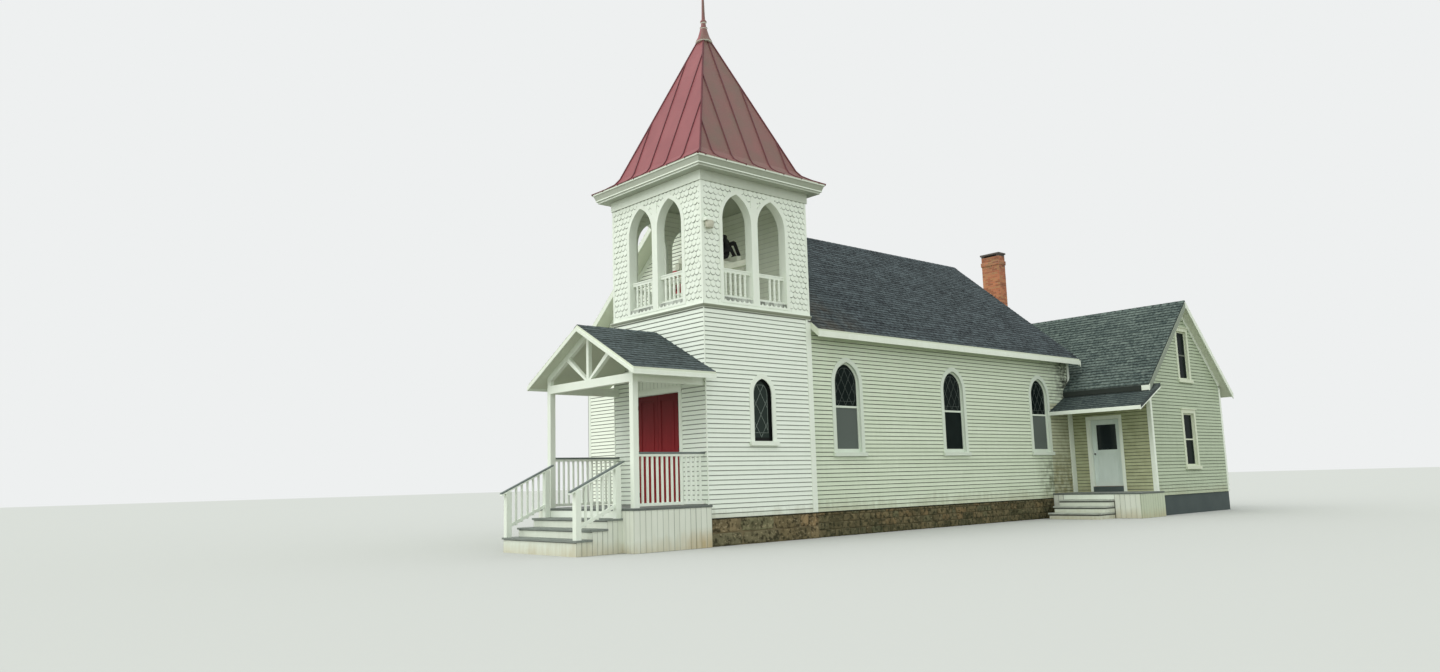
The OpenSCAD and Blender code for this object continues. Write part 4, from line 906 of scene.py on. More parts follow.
# Roof shingles: wedge-shaped tabs, thick at the lower edge
ROOF_TAB = ([(0, 0, 0), (1, 0, 0), (1, 1.06, 0), (0, 1.06, 0),
             (0, 0, 1), (1, 0, 1), (1, 1.06, 0.15), (0, 1.06, 0.15)],
            [(3, 2, 1, 0), (4, 5, 6, 7), (0, 1, 5, 4), (1, 2, 6, 5), (2, 3, 7, 6), (3, 0, 4, 7)])
ROOF_ROW, ROOF_TAB_W, ROOF_TAB_GAP, SMALLEST_TAB = 0.14, 0.31, 0.004, 0.03
OUTWARD = {0: -1, 90: 1, -90: -1, 180: 1}


def tabs(turn, middle, ridge_z, run, pitch, s0, s1, keep=None, lift=0.011):
    """Places on a slope that runs out from a ridge above middle; s as on a wall that faces the same way."""
    length = run / math.cos(pitch)
    rows = round(length / ROOF_ROW)
    height = length / rows
    edge = middle + OUTWARD[turn] * run
    places = []
    for row in range(rows):
        away = row * height * math.cos(pitch)
        at = edge - OUTWARD[turn] * away
        z = ridge_z - rise(run - away, pitch)
        s = s0 - rng.uniform(0.0, ROOF_TAB_W)
        while s < s1:
            width = ROOF_TAB_W * rng.uniform(0.85, 1.15)
            a, b = max(s, s0), min(s + width, s1)
            s += width
            if b - a < SMALLEST_TAB or (keep and not keep((a + b) / 2, at)):
                continue
            size = (b - a - ROOF_TAB_GAP, height, lift * rng.uniform(0.7, 1.2))
            places.append((on_wall(turn, at, a, z), size, spin_of(turn, pitch)))
    return places


def roofing(name, look, slot, seed, *slopes):
    lay(name, each(tabs, *slopes), ROOF_TAB, look, slot, seed)


nave_run, wing_run = NAVE_HALF + NAVE_EAVE, WING_HALF + WING_EAVE
y_front, y_back = NAVE_Y0 - NAVE_RAKE, NAVE_Y1 + NAVE_BACK_RAKE
roofing("nave_shingles", "dark_tabs", "dark_shingle", 15,
        (90, NAVE_MID, nave_ridge, nave_run, NAVE_PITCH, y_front, y_back,
         lambda s, x: s > TOWER_D or x < -TOWER_HALF - 0.02),
        (-90, NAVE_MID, nave_ridge, nave_run, NAVE_PITCH, -y_back, -y_front))

wing_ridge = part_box("wing_roof")[1].z
wx0, wx1 = NAVE_X0 - WING_RAKE, WING_X1 + WING_RAKE


def off_chimney(s, y):
    return abs(abs(s) - abs(CHIMNEY_X)) > CHIMNEY_W / 2 + 0.12 or abs(y - WING_MID) > CHIMNEY_D / 2 + 0.1


roofing("wing_shingles", "grey_tabs", "grey_shingle", 17,
        (0, WING_MID, wing_ridge, wing_run, WING_PITCH, wx0, wx1,
         lambda s, y: (y > NAVE_Y1 or s > NAVE_X1) and (s > 0 or off_chimney(s, y))),
        (180, WING_MID, wing_ridge, wing_run, WING_PITCH, -wx1, -wx0,
         lambda s, y: s < 0 or off_chimney(s, y)),
        (0, PENT_EAVE_Y + PENT_RUN, PENT_Z + rise(PENT_RUN, PENT_PITCH), PENT_RUN, PENT_PITCH, 1.655, 4.563,
         lambda s, y: y < 14.95, 0.008))

porch_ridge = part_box("porch_roof")[1].z
roofing("porch_shingles", "dark_tabs", "dark_shingle", 19,
        (90, 0.0, porch_ridge, PORCH_HALF, PORCH_PITCH, -PORCH_D, 0.0),
        (-90, 0.0, porch_ridge, PORCH_HALF, PORCH_PITCH, 0.0, PORCH_D))


def ridge_cap(pitch):
    """A bent shingle over a ridge that runs along its y."""
    low, e = -0.15 * math.sin(pitch), 0.15 * math.cos(pitch)
    section = [(-e, low), (0, 0), (e, low), (e, low + 0.012), (0, 0.014), (-e, low + 0.012)]
    n = len(section)
    points = [(x, 0, z) for x, z in section] + [(x, 1.12, z - 0.008) for x, z in section]
    faces = [(0, 1, 4, 5), (1, 2, 3, 4), (n + 5, n + 4, n + 1, n), (n + 4, n + 3, n + 2, n + 1)]
    return points, faces + [(i, n + i, n + (i + 1) % n, (i + 1) % n) for i in range(n)]


def caps(x, y, z, length, turn):
    count = round(length / 0.26)
    step = length / count
    along = (math.cos(math.radians(turn + 90)), math.sin(math.radians(turn + 90)))
    return [((x + along[0] * step * i, y + along[1] * step * i, z), (1, step, 1), spin_of(turn))
            for i in range(count)]


chimney_side = CHIMNEY_W / 2 + 0.03
for name, pitch, look, slot, seed, runs in (
        ("nave", NAVE_PITCH, "dark_tabs", "dark_shingle", 21, [(NAVE_MID, y_front, nave_ridge, y_back - y_front, 0)]),
        ("porch", PORCH_PITCH, "dark_tabs", "dark_shingle", 23, [(0.0, -PORCH_D, porch_ridge, PORCH_D, 0)]),
        ("wing", WING_PITCH, "grey_tabs", "grey_shingle", 25,
         [(wx1, WING_MID, wing_ridge, wx1 - CHIMNEY_X - chimney_side, 90),
          (CHIMNEY_X - chimney_side, WING_MID, wing_ridge, CHIMNEY_X - chimney_side - wx0, 90)])):
    lay(name + "_ridge_caps", each(caps, *runs), ridge_cap(pitch), look, slot, seed)

# Standing seams and hips of the spire: half widths and heights where its slope changes
SPIRE_STEPS = [(2.07, 0.0), (1.83, 0.12), (1.65, 0.24), (1.555, 0.373), (0.13, SPIRE_TOP - SPIRE_Z)]


def on_spire(turn, s, half, z):
    x, y, z = on_wall(turn, 0.0, s, SPIRE_Z + z, half)
    return (x, y + TOWER_HALF, z)


def seam(turn, s):
    """A line up the slope that stops where it meets a hip."""
    line = []
    for (h0, z0), (h1, z1) in zip(SPIRE_STEPS, SPIRE_STEPS[1:]):
        line.append(on_spire(turn, s, h0, z0))
        if abs(s) > h1:
            share = (h0 - abs(s)) / (h0 - h1)
            return line + [on_spire(turn, s, abs(s), z0 + share * (z1 - z0))]
    return line + [on_spire(turn, s, *SPIRE_STEPS[-1])]


ODD, EVEN = (0.32, 0.96, 1.6), (0.0, 0.61, 1.22, 1.83)
seams = [seam(turn, s) for turn, offsets in ((0, ODD), (180, ODD), (90, EVEN), (-90, EVEN))
         for s in sorted({side * offset for side in (-1, 1) for offset in offsets})]
run_along("spire_seams", seams, 0.02, 0.045, "seam_red", "red_metal")
hips = [[on_spire(turn, h, h, z) for h, z in SPIRE_STEPS] for turn in (0, 180, 90, -90)]
run_along("spire_hips", hips, 0.04, 0.04, "seam_red", "red_metal")

# Foundation stones and chimney bricks


def rough_stone(seed):
    """A stone's face as a cushion of quads about one unit long and high, standing out about one unit."""
    pick = np.random.default_rng(seed)
    rings = [(0.0, 0.0), (0.015, 0.75), (0.09, 1.0)]
    sides = [(0, 0), (0.35, 0), (0.7, 0), (1, 0), (1, 0.5), (1, 1), (0.65, 1), (0.3, 1), (0, 1), (0, 0.5)]
    points = []
    for inset, out in rings:
        for x, z in sides:
            wobble = pick.uniform(-0.05, 0.05, 3)
            px, pz = 0.5 + (x - 0.5) * (1 - 2 * inset), 0.5 + (z - 0.5) * (1 - 2 * inset)
            corner = 0.035 if x in (0, 1) and z in (0, 1) else 0.0
            px += corner * (1 if x == 0 else -1) + wobble[0] * (0.4 if out else 0.3)
            pz += corner * (1 if z == 0 else -1) * 1.6 + wobble[1] * (0.5 if out else 0.3)
            points.append((px, 0.6 - out * (1.6 + wobble[2] * 4), pz))
    n = len(sides)
    points.append((0.5, -1.15, 0.5))
    faces = [tuple(range(n - 1, -1, -1))]
    for k in range(2):
        faces += [tuple(k * n + i for i in face) for face in ring_faces(n)]
    return points, faces + [(2 * n + i, 2 * n + (i + 1) % n, 3 * n) for i in range(n)]


def stones(turn, at, s0, s1, big=False):
    """Courses of stones up to the siding: squared blocks where big, rubble elsewhere."""
    heights, widths = ((0.26, 0.33), (0.6, 1.15)) if big else ((0.1, 0.24), (0.18, 0.5))
    top = SIDING_Z - 0.004
    places = []
    z = 0.0
    while z < top - 0.05:
        height = min(rng.uniform(*heights), top - z)
        if top - z - height < 0.08:
            height = top - z
        s = s0
        while s < s1 - 0.01:
            width = min(rng.uniform(*widths), s1 - s)
            if s1 - s - width < 0.12:
                width = s1 - s
            size = (width - 0.008, rng.uniform(0.012, 0.026), height - 0.008)
            places.append((on_wall(turn, at, s + 0.006, z + 0.004), size, spin_of(turn)))
            s += width
        z += height
    return places


FOUND_OUT = 0.015
stone_faces = each(
    stones, (90, TOWER_HALF + FOUND_OUT, 0.0, TOWER_D, True), (90, NAVE_X1 + FOUND_OUT, TOWER_D, DECK_Y - 0.03),
    (-90, -TOWER_HALF - FOUND_OUT, -2.64, 0.0, True), (-90, NAVE_X0 - FOUND_OUT, -NAVE_Y1, -2.645),
    (0, NAVE_Y0 - FOUND_OUT, -6.79, -1.71))
for k in range(3):
    lay(f"foundation_stones_{k + 1}", stone_faces[k::3], rough_stone(31 + k), "rubble", "fieldstone", 27 + k)

BRICK_W, BRICK_H, BRICK_ROW, BRICK_JOINT, BRICK_OUT = 0.2133, 0.0577, 0.0677, 0.008, 0.005


def bricks(turn, at, s0, s1, z0, z1):
    rows = round((z1 - z0) / BRICK_ROW)
    return [(on_wall(turn, at, a + BRICK_JOINT / 2, z0 + row * (z1 - z0) / rows + 0.005),
             (b - a - BRICK_JOINT, BRICK_OUT, BRICK_H), spin_of(turn))
            for row in range(rows) for a, b in staggered(s0, s1, BRICK_W, row) if b - a > 0.03]


def brick_band(more, z0, z1):
    """Bricks round the chimney, whose sides stand out by more."""
    x0, x1 = CHIMNEY_X - CHIMNEY_W / 2 - more, CHIMNEY_X + CHIMNEY_W / 2 + more
    y0, y1 = WING_MID - CHIMNEY_D / 2 - more, WING_MID + CHIMNEY_D / 2 + more
    return each(bricks, (0, y0, x0, x1, z0, z1), (180, y1, -x1, -x0, z0, z1), (90, x1, y0, y1, z0, z1),
                (-90, x0, -y1, -y0, z0, z1))


band_z0, band_z1 = CHIMNEY_Z - 0.33, CHIMNEY_Z - 0.18
lay("chimney_bricks", each(brick_band, (0.0, 6.2, band_z0), (0.025, band_z0, band_z1), (0.0, band_z1, CHIMNEY_Z)),
    FLAT_BOARD, "brick_face", "brick", 33, 0.0012)

# Upright boards on the decks' skirts and above the front doors, and deck boards


def in_steps(start, end, width):
    """Even steps of about one width between two ends, as (start, length less a joint)."""
    count = round((end - start) / width)
    step = (end - start) / count
    return [(start + i * step + 0.002, step - 0.004) for i in range(count)]


def upright_boards(turn, at, s0, s1, z0, z1, thick=0.009):
    return [(on_wall(turn, at, s, z0), (width, thick, z1 - z0), spin_of(turn))
            for s, width in in_steps(s0, s1, 0.145)]


def deck_boards(x0, x1, y0, y1, z):
    """Boards that run along Y."""
    return [((x, y0, z), (width, 0.006, y1 - y0), (-math.pi / 2, 0.0, 0.0)) for x, width in in_steps(x0, x1, 0.11)]


SIDE_SKIRT_TOP, SKIRT_Z = 0.687, 0.004
skirt = [(90, SKIRT_X, SKIRT_Y, -0.02, SKIRT_Z, SKIRT_TOP), (-90, -SKIRT_X, 0.02, -SKIRT_Y, SKIRT_Z, SKIRT_TOP),
         (0, SKIRT_Y, -1.8, -STAIR_HALF, SKIRT_Z, SKIRT_TOP), (0, SKIRT_Y, STAIR_HALF, 1.8, SKIRT_Z, SKIRT_TOP),
         (90, 4.372, DECK_Y, NAVE_Y1, SKIRT_Z, SIDE_SKIRT_TOP), (0, DECK_Y, 3.6, 4.38, SKIRT_Z, SIDE_SKIRT_TOP),
         (0, DECK_Y, 1.65, 1.97, SKIRT_Z, SIDE_SKIRT_TOP)]
for i in (1, 2, 3):
    step_top = FLOOR_Z - STEP_RISE * i - 0.04
    near, far = SKIRT_Y - STEP_RUN * i, SKIRT_Y + STEP_RUN - STEP_RUN * i
    skirt += [(90, STAIR_HALF, near, far, SKIRT_Z, step_top), (-90, -STAIR_HALF, -far, -near, SKIRT_Z, step_top)]
lay("skirt_boards", each(upright_boards, *skirt), FLAT_BOARD, "deck_paint", "step_paint", 35, 0.0012)
lay("doorway_panel", upright_boards(0, 0.0, -0.85, 0.85, 3.5, PANEL_TOP, 0.012),
    FLAT_BOARD, "panel_paint", "white_wood", 37, 0.0006)
lay("deck_planks", each(deck_boards, (-1.815, 1.815, -2.09, -0.002, FLOOR_Z),
                        (NAVE_X1, 4.392, 13.96, NAVE_Y1 - 0.002, DECK_Z)),
    FLAT_BOARD, "deck_grey", "weathered_timber", 39, 0.0006)


# ---- Trim made board by board

CORNERS = [(ix, iy, iz) for ix in (0, 1) for iy in (0, 1) for iz in (0, 1)]


class Carpentry:
    """Gathers eased boards and turned or sawn shapes into one mesh."""

    def __init__(self):
        self.points, self.faces = [], []

    def shape(self, points, faces):
        start = len(self.points)
        self.points += points
        self.faces += [tuple(start + i for i in face) for face in faces]

    def board(self, a, b, ease=0.003):
        """A board between two corners with its edges taken off."""
        lo, hi = [min(p, q) for p, q in zip(a, b)], [max(p, q) for p, q in zip(a, b)]
        ease = min(ease, *[(q - p) * 0.3 for p, q in zip(lo, hi)])
        corners, index = [], {}
        for corner in CORNERS:
            for flat in range(3):
                index[(*corner, flat)] = len(corners)
                corners.append(tuple((hi[k] if far else lo[k]) + (0.0 if k == flat else -ease if far else ease)
                                     for k, far in enumerate(corner)))
        faces = []
        for axis in range(3):
            u, v = [k for k in range(3) if k != axis]

            def spot(along, pu, pv, flat):
                key = [along, along, along]
                key[u], key[v] = pu, pv
                return index[(*key, flat)]

            for side in (0, 1):
                faces.append(tuple(spot(side, pu, pv, axis) for pu, pv in ((0, 0), (1, 0), (1, 1), (0, 1))))
            for pu, pv in ((0, 0), (0, 1), (1, 0), (1, 1)):
                faces.append((spot(0, pu, pv, u), spot(0, pu, pv, v), spot(1, pu, pv, v), spot(1, pu, pv, u)))
        faces += [tuple(index[(*corner, flat)] for flat in range(3)) for corner in CORNERS]
        middle = Vector([(p + q) / 2 for p, q in zip(lo, hi)])
        turned = []
        for face in faces:
            spots = [Vector(corners[i]) for i in face]
            centre = sum(spots, Vector()) / len(spots)
            normal = (spots[1] - spots[0]).cross(spots[2] - spots[0])
            turned.append(face if normal.dot(centre - middle) > 0 else face[::-1])
        self.shape(corners, turned)

    def wall_boards(self, *boards):
        """Boards on walls, each as (turn, at, s0, s1, z0, z1, thickness)."""
        for turn, at, s0, s1, z0, z1, out in boards:
            self.board(on_wall(turn, at, s0, z0), on_wall(turn, at, s1, z1, out))

    def sawn(self, turn, at, outline, thick):
        """An outline in the wall's own s and z, standing out from the wall."""
        n = len(outline)
        points = [on_wall(turn, at, s, z, out) for out in (0.0, thick) for s, z in outline]
        area = sum(p[0] * q[1] - q[0] * p[1] for p, q in zip(outline, outline[1:] + outline[:1]))
        faces = [tuple(range(n - 1, -1, -1)), tuple(range(n, 2 * n))] + ring_faces(n)
        self.shape(points, faces if area > 0 else [face[::-1] for face in faces])

    def lathe(self, x, y, profile, steps=20):
        """A closed turned shape about an upright axis; profile gives radius and height from the bottom up."""
        turns = [2 * math.pi * i / steps for i in range(steps)]
        points, faces = [(x, y, profile[0][1])], []
        for radius, z in profile:
            points += [(x + radius * math.cos(a), y + radius * math.sin(a), z) for a in turns]
        points.append((x, y, profile[-1][1]))
        last = len(points) - 1
        for i in range(steps):
            j = (i + 1) % steps
            faces.append((0, 1 + j, 1 + i))
            faces += [(k + i, k + j, k + steps + j, k + steps + i) for k in range(1, last - steps, steps)]
            faces.append((last, last - steps + i, last - steps + j))
        self.shape(points, faces)

    def finish(self, name, look, slot):
        mesh = new_mesh(name, self.points, [], self.faces)
        mesh.materials.append(LOOKS[look])
        settle(new_object(name, mesh), slot)


# Thickness of the trim, and where corner boards end and friezes start
TRIM_T, NAVE_BOARD_TOP, NAVE_FRIEZE_Z, WING_BOARD_TOP, WING_FRIEZE_Z = 0.022, 4.95, 4.93, 4.08, 4.03
# Where the nave's roof meets the left face of the belfry
ROOF_MEETS_Z, ROOF_MEETS_S = 8.03, -2.6
ABOVE_DECK, CASING_T = 0.006, 0.024
trim = Carpentry()


def rake_frieze(turn, at, middle, half_width, wall_z, pitch, deep, right_end=None):
    """Sloping boards on a gable wall, tight under the roof; the right one may end early."""
    top = wall_z + rise(half_width, pitch)
    down = upright(deep, pitch)
    for side, outer in ((-1, half_width), (1, right_end or half_width)):
        end, low = middle + side * outer, top - rise(outer, pitch)
        trim.sawn(turn, at, [(middle, top), (middle, top - down), (end, low - down), (end, low)], TRIM_T)


# Tower: corner beads, the board beside the nave, strips on the belfry
trim.wall_boards(
    (0, 0.0, TOWER_HALF, TOWER_HALF + CASING_T, SIDING_Z, BELT_Z, CASING_T),
    (0, 0.0, -TOWER_HALF - CASING_T, -TOWER_HALF, SIDING_Z, BELT_Z, CASING_T),
    (90, TOWER_HALF, TOWER_D - 0.165, TOWER_D, SIDING_Z, BELT_Z, 0.026))
for turn, at, s0, s1, strip_z, sill_s in (
        (0, 0.0, -TOWER_HALF - 0.016, TOWER_HALF + 0.016, BELT_TOP, -TOWER_HALF - 0.016),
        (90, TOWER_HALF, 0.0, TOWER_D, BELT_TOP, 0.0), (-90, -TOWER_HALF, -TOWER_D, 0.0, ROOF_MEETS_Z, ROOF_MEETS_S)):
    trim.wall_boards((turn, at, s0, s0 + 0.06, strip_z, FRIEZE_Z, 0.018),
                     (turn, at, s1 - 0.06, s1, BELT_TOP, FRIEZE_Z, 0.018),
                     (turn, at, sill_s, s1, BELT_TOP, BELT_TOP + 0.055, 0.02))
# Fillets of the cornice
for z, half, high, out in ((BELFRY_TOP + 0.045, 1.985, 0.03, 0.014), (SPIRE_Z - 0.035, 2.036, 0.035, 0.022)):
    reach = half + out
    for sign in (-1, 1):
        trim.board((-reach, TOWER_HALF + sign * half, z), (reach, TOWER_HALF + sign * reach, z + high))
        trim.board((sign * half, TOWER_HALF - half, z), (sign * reach, TOWER_HALF + half, z + high))
# Nave: corner boards, frieze under the eaves, rake friezes and the pale strip beside the wing
trim.wall_boards(
    (90, NAVE_X1, NAVE_Y1 - 0.12, NAVE_Y1, DECK_Z, NAVE_BOARD_TOP, TRIM_T),
    (-90, NAVE_X0, -NAVE_Y0 - 0.1, -NAVE_Y0 + TRIM_T, SIDING_Z, NAVE_BOARD_TOP, TRIM_T),
    (0, NAVE_Y0, NAVE_X0 - TRIM_T, NAVE_X0 + 0.1, SIDING_Z, NAVE_BOARD_TOP, TRIM_T),
    (90, NAVE_X1, TOWER_D, NAVE_Y1, NAVE_FRIEZE_Z, NAVE_WALL_Z, 0.02),
    (-90, NAVE_X0, -NAVE_Y1, -NAVE_Y0, NAVE_FRIEZE_Z, NAVE_WALL_Z, 0.02))
rake_frieze(0, NAVE_Y0, NAVE_MID, NAVE_HALF, NAVE_WALL_Z, NAVE_PITCH, 0.14, -NAVE_MID - TOWER_HALF)
rake_frieze(180, NAVE_Y1, -NAVE_MID, NAVE_HALF, NAVE_WALL_Z, NAVE_PITCH, 0.14)
trim.wall_boards((90, NAVE_X1, NAVE_Y1 - 0.28, NAVE_Y1 - 0.121, DECK_Z, 3.68, 0.034))
# Wing: corner boards, frieze, rake friezes
trim.wall_boards(*[(turn, at, s0, s1, SIDING_Z, WING_BOARD_TOP, TRIM_T) for turn, at, s0, s1 in (
    (0, NAVE_Y1, WING_X1 - 0.1, WING_X1 + TRIM_T), (90, WING_X1, NAVE_Y1, NAVE_Y1 + 0.1),
    (90, WING_X1, WING_Y1 - 0.1, WING_Y1), (180, WING_Y1, -WING_X1 - TRIM_T, -WING_X1 + 0.1),
    (180, WING_Y1, -NAVE_X0 - 0.1, -NAVE_X0 + TRIM_T), (-90, NAVE_X0, -WING_Y1, -WING_Y1 + 0.1),
    (-90, NAVE_X0, -NAVE_Y1 - 0.1, -NAVE_Y1))])
trim.wall_boards((0, NAVE_Y1, NAVE_X1, WING_X1, WING_FRIEZE_Z, WING_WALL_Z, 0.02),
                 (180, WING_Y1, -WING_X1, -NAVE_X0, WING_FRIEZE_Z, WING_WALL_Z, 0.02))
for turn, at in ((90, WING_X1), (-90, NAVE_X0)):
    rake_frieze(turn, at, math.copysign(WING_MID, turn), WING_HALF, WING_WALL_Z, WING_PITCH, 0.13)
trim.finish("corner_and_frieze_boards", "trim_paint", "white_wood")

casings = Carpentry()
casings.wall_boards(
    (0, 0.0, -0.867, -0.757, FLOOR_Z + ABOVE_DECK, 3.5, CASING_T),
    (0, 0.0, 0.757, 0.867, FLOOR_Z + ABOVE_DECK, 3.5, CASING_T),
    (0, 0.0, -0.867, 0.867, 3.402, 3.512, 0.026), (0, 0.0, -0.9, 0.9, 3.512, 3.54, 0.045),
    (0, 0.0, -0.87, 0.87, PANEL_TOP - 0.02, PANEL_TOP + 0.06, TRIM_T),
    (0, NAVE_Y1, SIDE_DOOR_X0 - 0.1, SIDE_DOOR_X0, DECK_Z + ABOVE_DECK, 2.97, CASING_T),
    (0, NAVE_Y1, SIDE_DOOR_X1, SIDE_DOOR_X1 + 0.1, DECK_Z + ABOVE_DECK, 2.97, CASING_T),
    (0, NAVE_Y1, SIDE_DOOR_X0 - 0.1, SIDE_DOOR_X1 + 0.1, 2.965, 3.075, 0.026),
    (0, DECK_Y, 1.98, 3.59, 0.55, 0.686, 0.012),
    (0, SKIRT_Y, -1.4, 1.4, FLOOR_Z - STEP_RISE + 0.002, SKIRT_TOP, 0.012))
casings.finish("doorway_casings", "trim_paint", "white_wood")
threshold = Carpentry()
threshold.wall_boards((0, NAVE_Y1, SIDE_DOOR_X0, SIDE_DOOR_X1, DECK_Z + ABOVE_DECK, FLOOR_Z + 0.012, 0.045))
threshold.finish("side_threshold", "sill_grey", "weathered_timber")

# Fascia and rake of the pent roof, and the deeper fascia of the porch
edges = Carpentry()
porch_low = porch_ridge - upright(0.08, PORCH_PITCH) - rise(PORCH_HALF, PORCH_PITCH) - 0.008
for side in (-1, 1):
    edges.board((side * 2.041, -PORCH_D - 0.02, porch_low - 0.05), (side * 2.064, -0.002, porch_low + 0.004))
pent_up = upright(0.09, PENT_PITCH)
pent_top = PENT_Z + rise(PENT_RUN, PENT_PITCH)
edge_y = PENT_EAVE_Y - TRIM_T
edges.board((1.654, edge_y, PENT_Z - pent_up - 0.03), (4.541, PENT_EAVE_Y, PENT_Z - 0.018))
edges.sawn(90, 4.5415, [(NAVE_Y1, pent_top - 0.02), (NAVE_Y1, pent_top - pent_up - 0.045),
                        (edge_y, PENT_Z - pent_up - 0.045), (edge_y, PENT_Z - 0.02)], TRIM_T)
edges.finish("pent_roof_boards", "trim_paint", "white_wood")

# The small lamp near the belfry's corner
lamp = Carpentry()
lamp.board((1.69, 0.03, 7.15), (1.83, 0.30, 7.21))
lamp.board((1.69, 0.09, 7.0), (1.72, 0.24, 7.15))
lamp.finish("corner_lamp", "trim_paint", "white_wood")
shade = Carpentry()
shade.lathe(1.765, 0.165, [(0.045, 6.985), (0.085, 7.0), (0.1, 7.06), (0.1, 7.148)])
shade.finish("corner_lamp_shade", "lamp_tan", "white_wood")

# ---- Leaded lines on the pointed windows

LEAD_SLOPE, LEAD_SAMPLES, GLASS_IN = 1.7, 60, -0.0615


def leads(turn, at, hole, bottom, step, inset):
    """Diagonal lines clipped to the glass, a line that follows its edge and a bar low down."""
    lines = []
    top = hole.spring + hole.height
    reach = hole.width / 2 + (top - bottom) / LEAD_SLOPE
    count = int(2 * reach / step) + 2
    for sign in (-1, 1):
        for k in range(-count, count):
            runs = [[]]
            for i in range(LEAD_SAMPLES + 1):
                z = bottom + (top - bottom) * i / LEAD_SAMPLES
                s = k * step + sign * (z - bottom) / LEAD_SLOPE
                if abs(s) < hole.half(z, -inset) - 0.001:
                    runs[-1].append(on_wall(turn, at, hole.s + s, z, GLASS_IN))
                elif runs[-1]:
                    runs.append([])
            lines += [[run[0], run[-1]] for run in runs if run and math.dist(run[0], run[-1]) > 0.05]
    heights = [bottom + 0.1 + (top - bottom - 0.1) * i / 24 for i in range(25)]
    edge = [(hole.half(z, -inset), z) for z in heights if hole.half(z, -inset) > 0.012]
    left, right = ([on_wall(turn, at, hole.s + side * half, z, GLASS_IN) for half, z in edge] for side in (-1, 1))
    return lines + [left + right[::-1], [left[0], right[0]]]


lead_lines = each(leads, *[(turn, at, hole, 3.17, 0.26, 0.13) for turn, at, holes in (
    (90, NAVE_X1, nave_windows), (-90, NAVE_X0, flip(nave_windows))) for hole in holes])
lead_lines += each(leads, (90, TOWER_HALF, lancet[0], 2.35, 0.3, 0.1),
                   (-90, -TOWER_HALF, flip(lancet)[0], 2.35, 0.3, 0.1))
run_along("window_leads", lead_lines, 0.013, 0.009, "lead", "black_iron")

# ---- Belfry: turned spindles over the square balusters, and castings on the bell's stands

spindles = Carpentry()
low, high = BEL_SILL + 0.155, BEL_SILL + 0.68
TURNED = [(0.028, 0.0), (0.036, 0.02), (0.036, 0.08), (0.028, 0.1), (0.035, 0.16), (0.028, 0.24), (0.03, 0.4),
          (0.036, 0.5), (0.03, 0.6), (0.028, 0.76), (0.035, 0.84), (0.028, 0.9), (0.036, 0.92), (0.036, 0.98),
          (0.028, 1.0)]
profile = [(radius, low + (high - low) * share) for radius, share in TURNED]
for side in (-1, 1):
    for i in range(1, 6):
        offset = side * PAIR_HALF - 0.45 + 0.15 * i
        spindles.lathe(offset, 0.1, profile, 10)
        spindles.lathe(-1.59, SIDE_PAIR_Y + offset, profile, 10)
        if side < 0 or i > 2:
            spindles.lathe(1.59, SIDE_PAIR_Y + offset, profile, 10)
spindles.finish("belfry_spindles", "trim_paint", "white_wood")

castings = Carpentry()
WEB = [(-0.2, 6.93), (0.0, 6.86), (0.1, 6.97), (0.13, 7.2), (0.1, 7.34), (-0.08, 7.35), (-0.2, 7.2)]
ARM = [(0.1, 7.19), (0.29, 7.17), (0.43, 6.875), (0.52, 6.875), (0.36, 7.24), (0.3, 7.28), (0.1, 7.28)]
for turn, at, side in ((0, 1.158, 1), (180, 2.222, -1)):
    castings.sawn(turn, at, [(x * side, z) for x, z in WEB], 0.035)
    castings.wall_boards(*[(turn, at, x * side - 0.012, x * side + 0.012, 6.97, 7.3, 0.05)
                           for x in (-0.12, -0.04, 0.05)])
    castings.sawn(turn, at, [(x * side, z) for x, z in ARM], 0.03)
castings.finish("bell_castings", "iron", "black_iron")

# ---- Floor, light and camera

FAR = 300
corners = [(-FAR, -FAR, 0), (FAR, -FAR, 0), (FAR, FAR, 0), (-FAR, FAR, 0)]
floor_mesh = new_mesh("ground", corners, [], [(0, 1, 2, 3)])
floor = new_object("ground", floor_mesh)


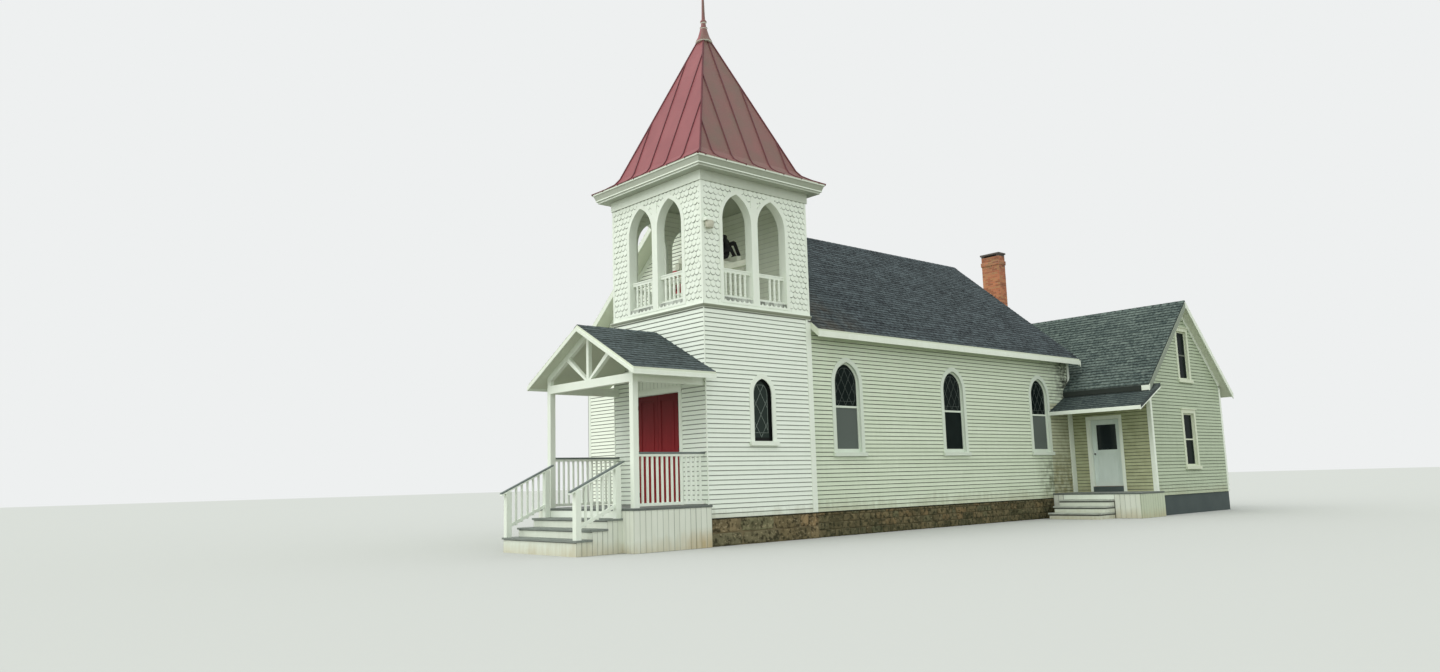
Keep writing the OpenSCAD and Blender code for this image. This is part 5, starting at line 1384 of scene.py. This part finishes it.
def two_ways(tree, kind, output, bounced, seen):
    """One shader for the light that bounces, and one for the camera, glosses and clear materials."""
    g = Graph(tree)
    path = tree.nodes.new("ShaderNodeLightPath")
    rays = [Wire(g, path.outputs[name]) for name in ("Is Camera Ray", "Is Glossy Ray", "Is Transmission Ray")]
    share = (rays[0] + rays[1] + rays[2]).clamp()
    both = {0: share, 1: g.add(kind, bounced), 2: g.add(kind, seen)}
    g.add(output, {"Surface": g.add("ShaderNodeMixShader", both)})


ground = bpy.data.materials.new("ground")
ground.use_nodes = True
two_ways(ground.node_tree, "ShaderNodeBsdfDiffuse", "ShaderNodeOutputMaterial",
         {"Color": srgb(144, 144, 134)}, {"Color": srgb(186, 188, 184)})
floor_mesh.materials.append(ground)

world = bpy.data.worlds.new("pale_room")
scene.world = world
world.use_nodes = True
two_ways(world.node_tree, "ShaderNodeBackground", "ShaderNodeOutputWorld",
         {"Color": (0.97, 1.0, 0.99, 1.0), "Strength": 1.24}, {"Color": srgb(238, 240, 240), "Strength": 1.0})

sun_data = bpy.data.lights.new("soft_sun", "SUN")
sun_data.energy, sun_data.angle, sun_data.color = 1.1, math.radians(50), (1.0, 0.985, 0.95)
sun = new_object("soft_sun", sun_data)
sun.rotation_mode = "QUATERNION"
sun.rotation_quaternion = Vector((-0.1, -0.8, 0.75)).normalized().to_track_quat("Z", "Y")

# The photograph's view: focal length in picture widths, turn, tilt and roll
VIEW_FROM = (18.0099, -14.0211, 1.3674)
FOCAL, YAW, TILT, ROLL = 991.13 / 1440, 0.845156, 0.146164, -0.028292
ahead = Vector((-math.sin(YAW) * math.cos(TILT), math.cos(YAW) * math.cos(TILT), math.sin(TILT)))
right = Vector((math.cos(YAW), math.sin(YAW), 0.0))
up = right.cross(ahead)
right, up = (math.cos(ROLL) * right + math.sin(ROLL) * up), (math.cos(ROLL) * up - math.sin(ROLL) * right)
camera_data = bpy.data.cameras.new("view")
camera_data.sensor_width, camera_data.lens = 36.0, 36.0 * FOCAL
camera_data.clip_end = 1000.0
camera = new_object("view", camera_data)
camera.matrix_world = Matrix.Translation(VIEW_FROM) @ Matrix((right, up, -ahead)).transposed().to_4x4()
scene.camera = camera
scene.view_settings.view_transform = "Standard"
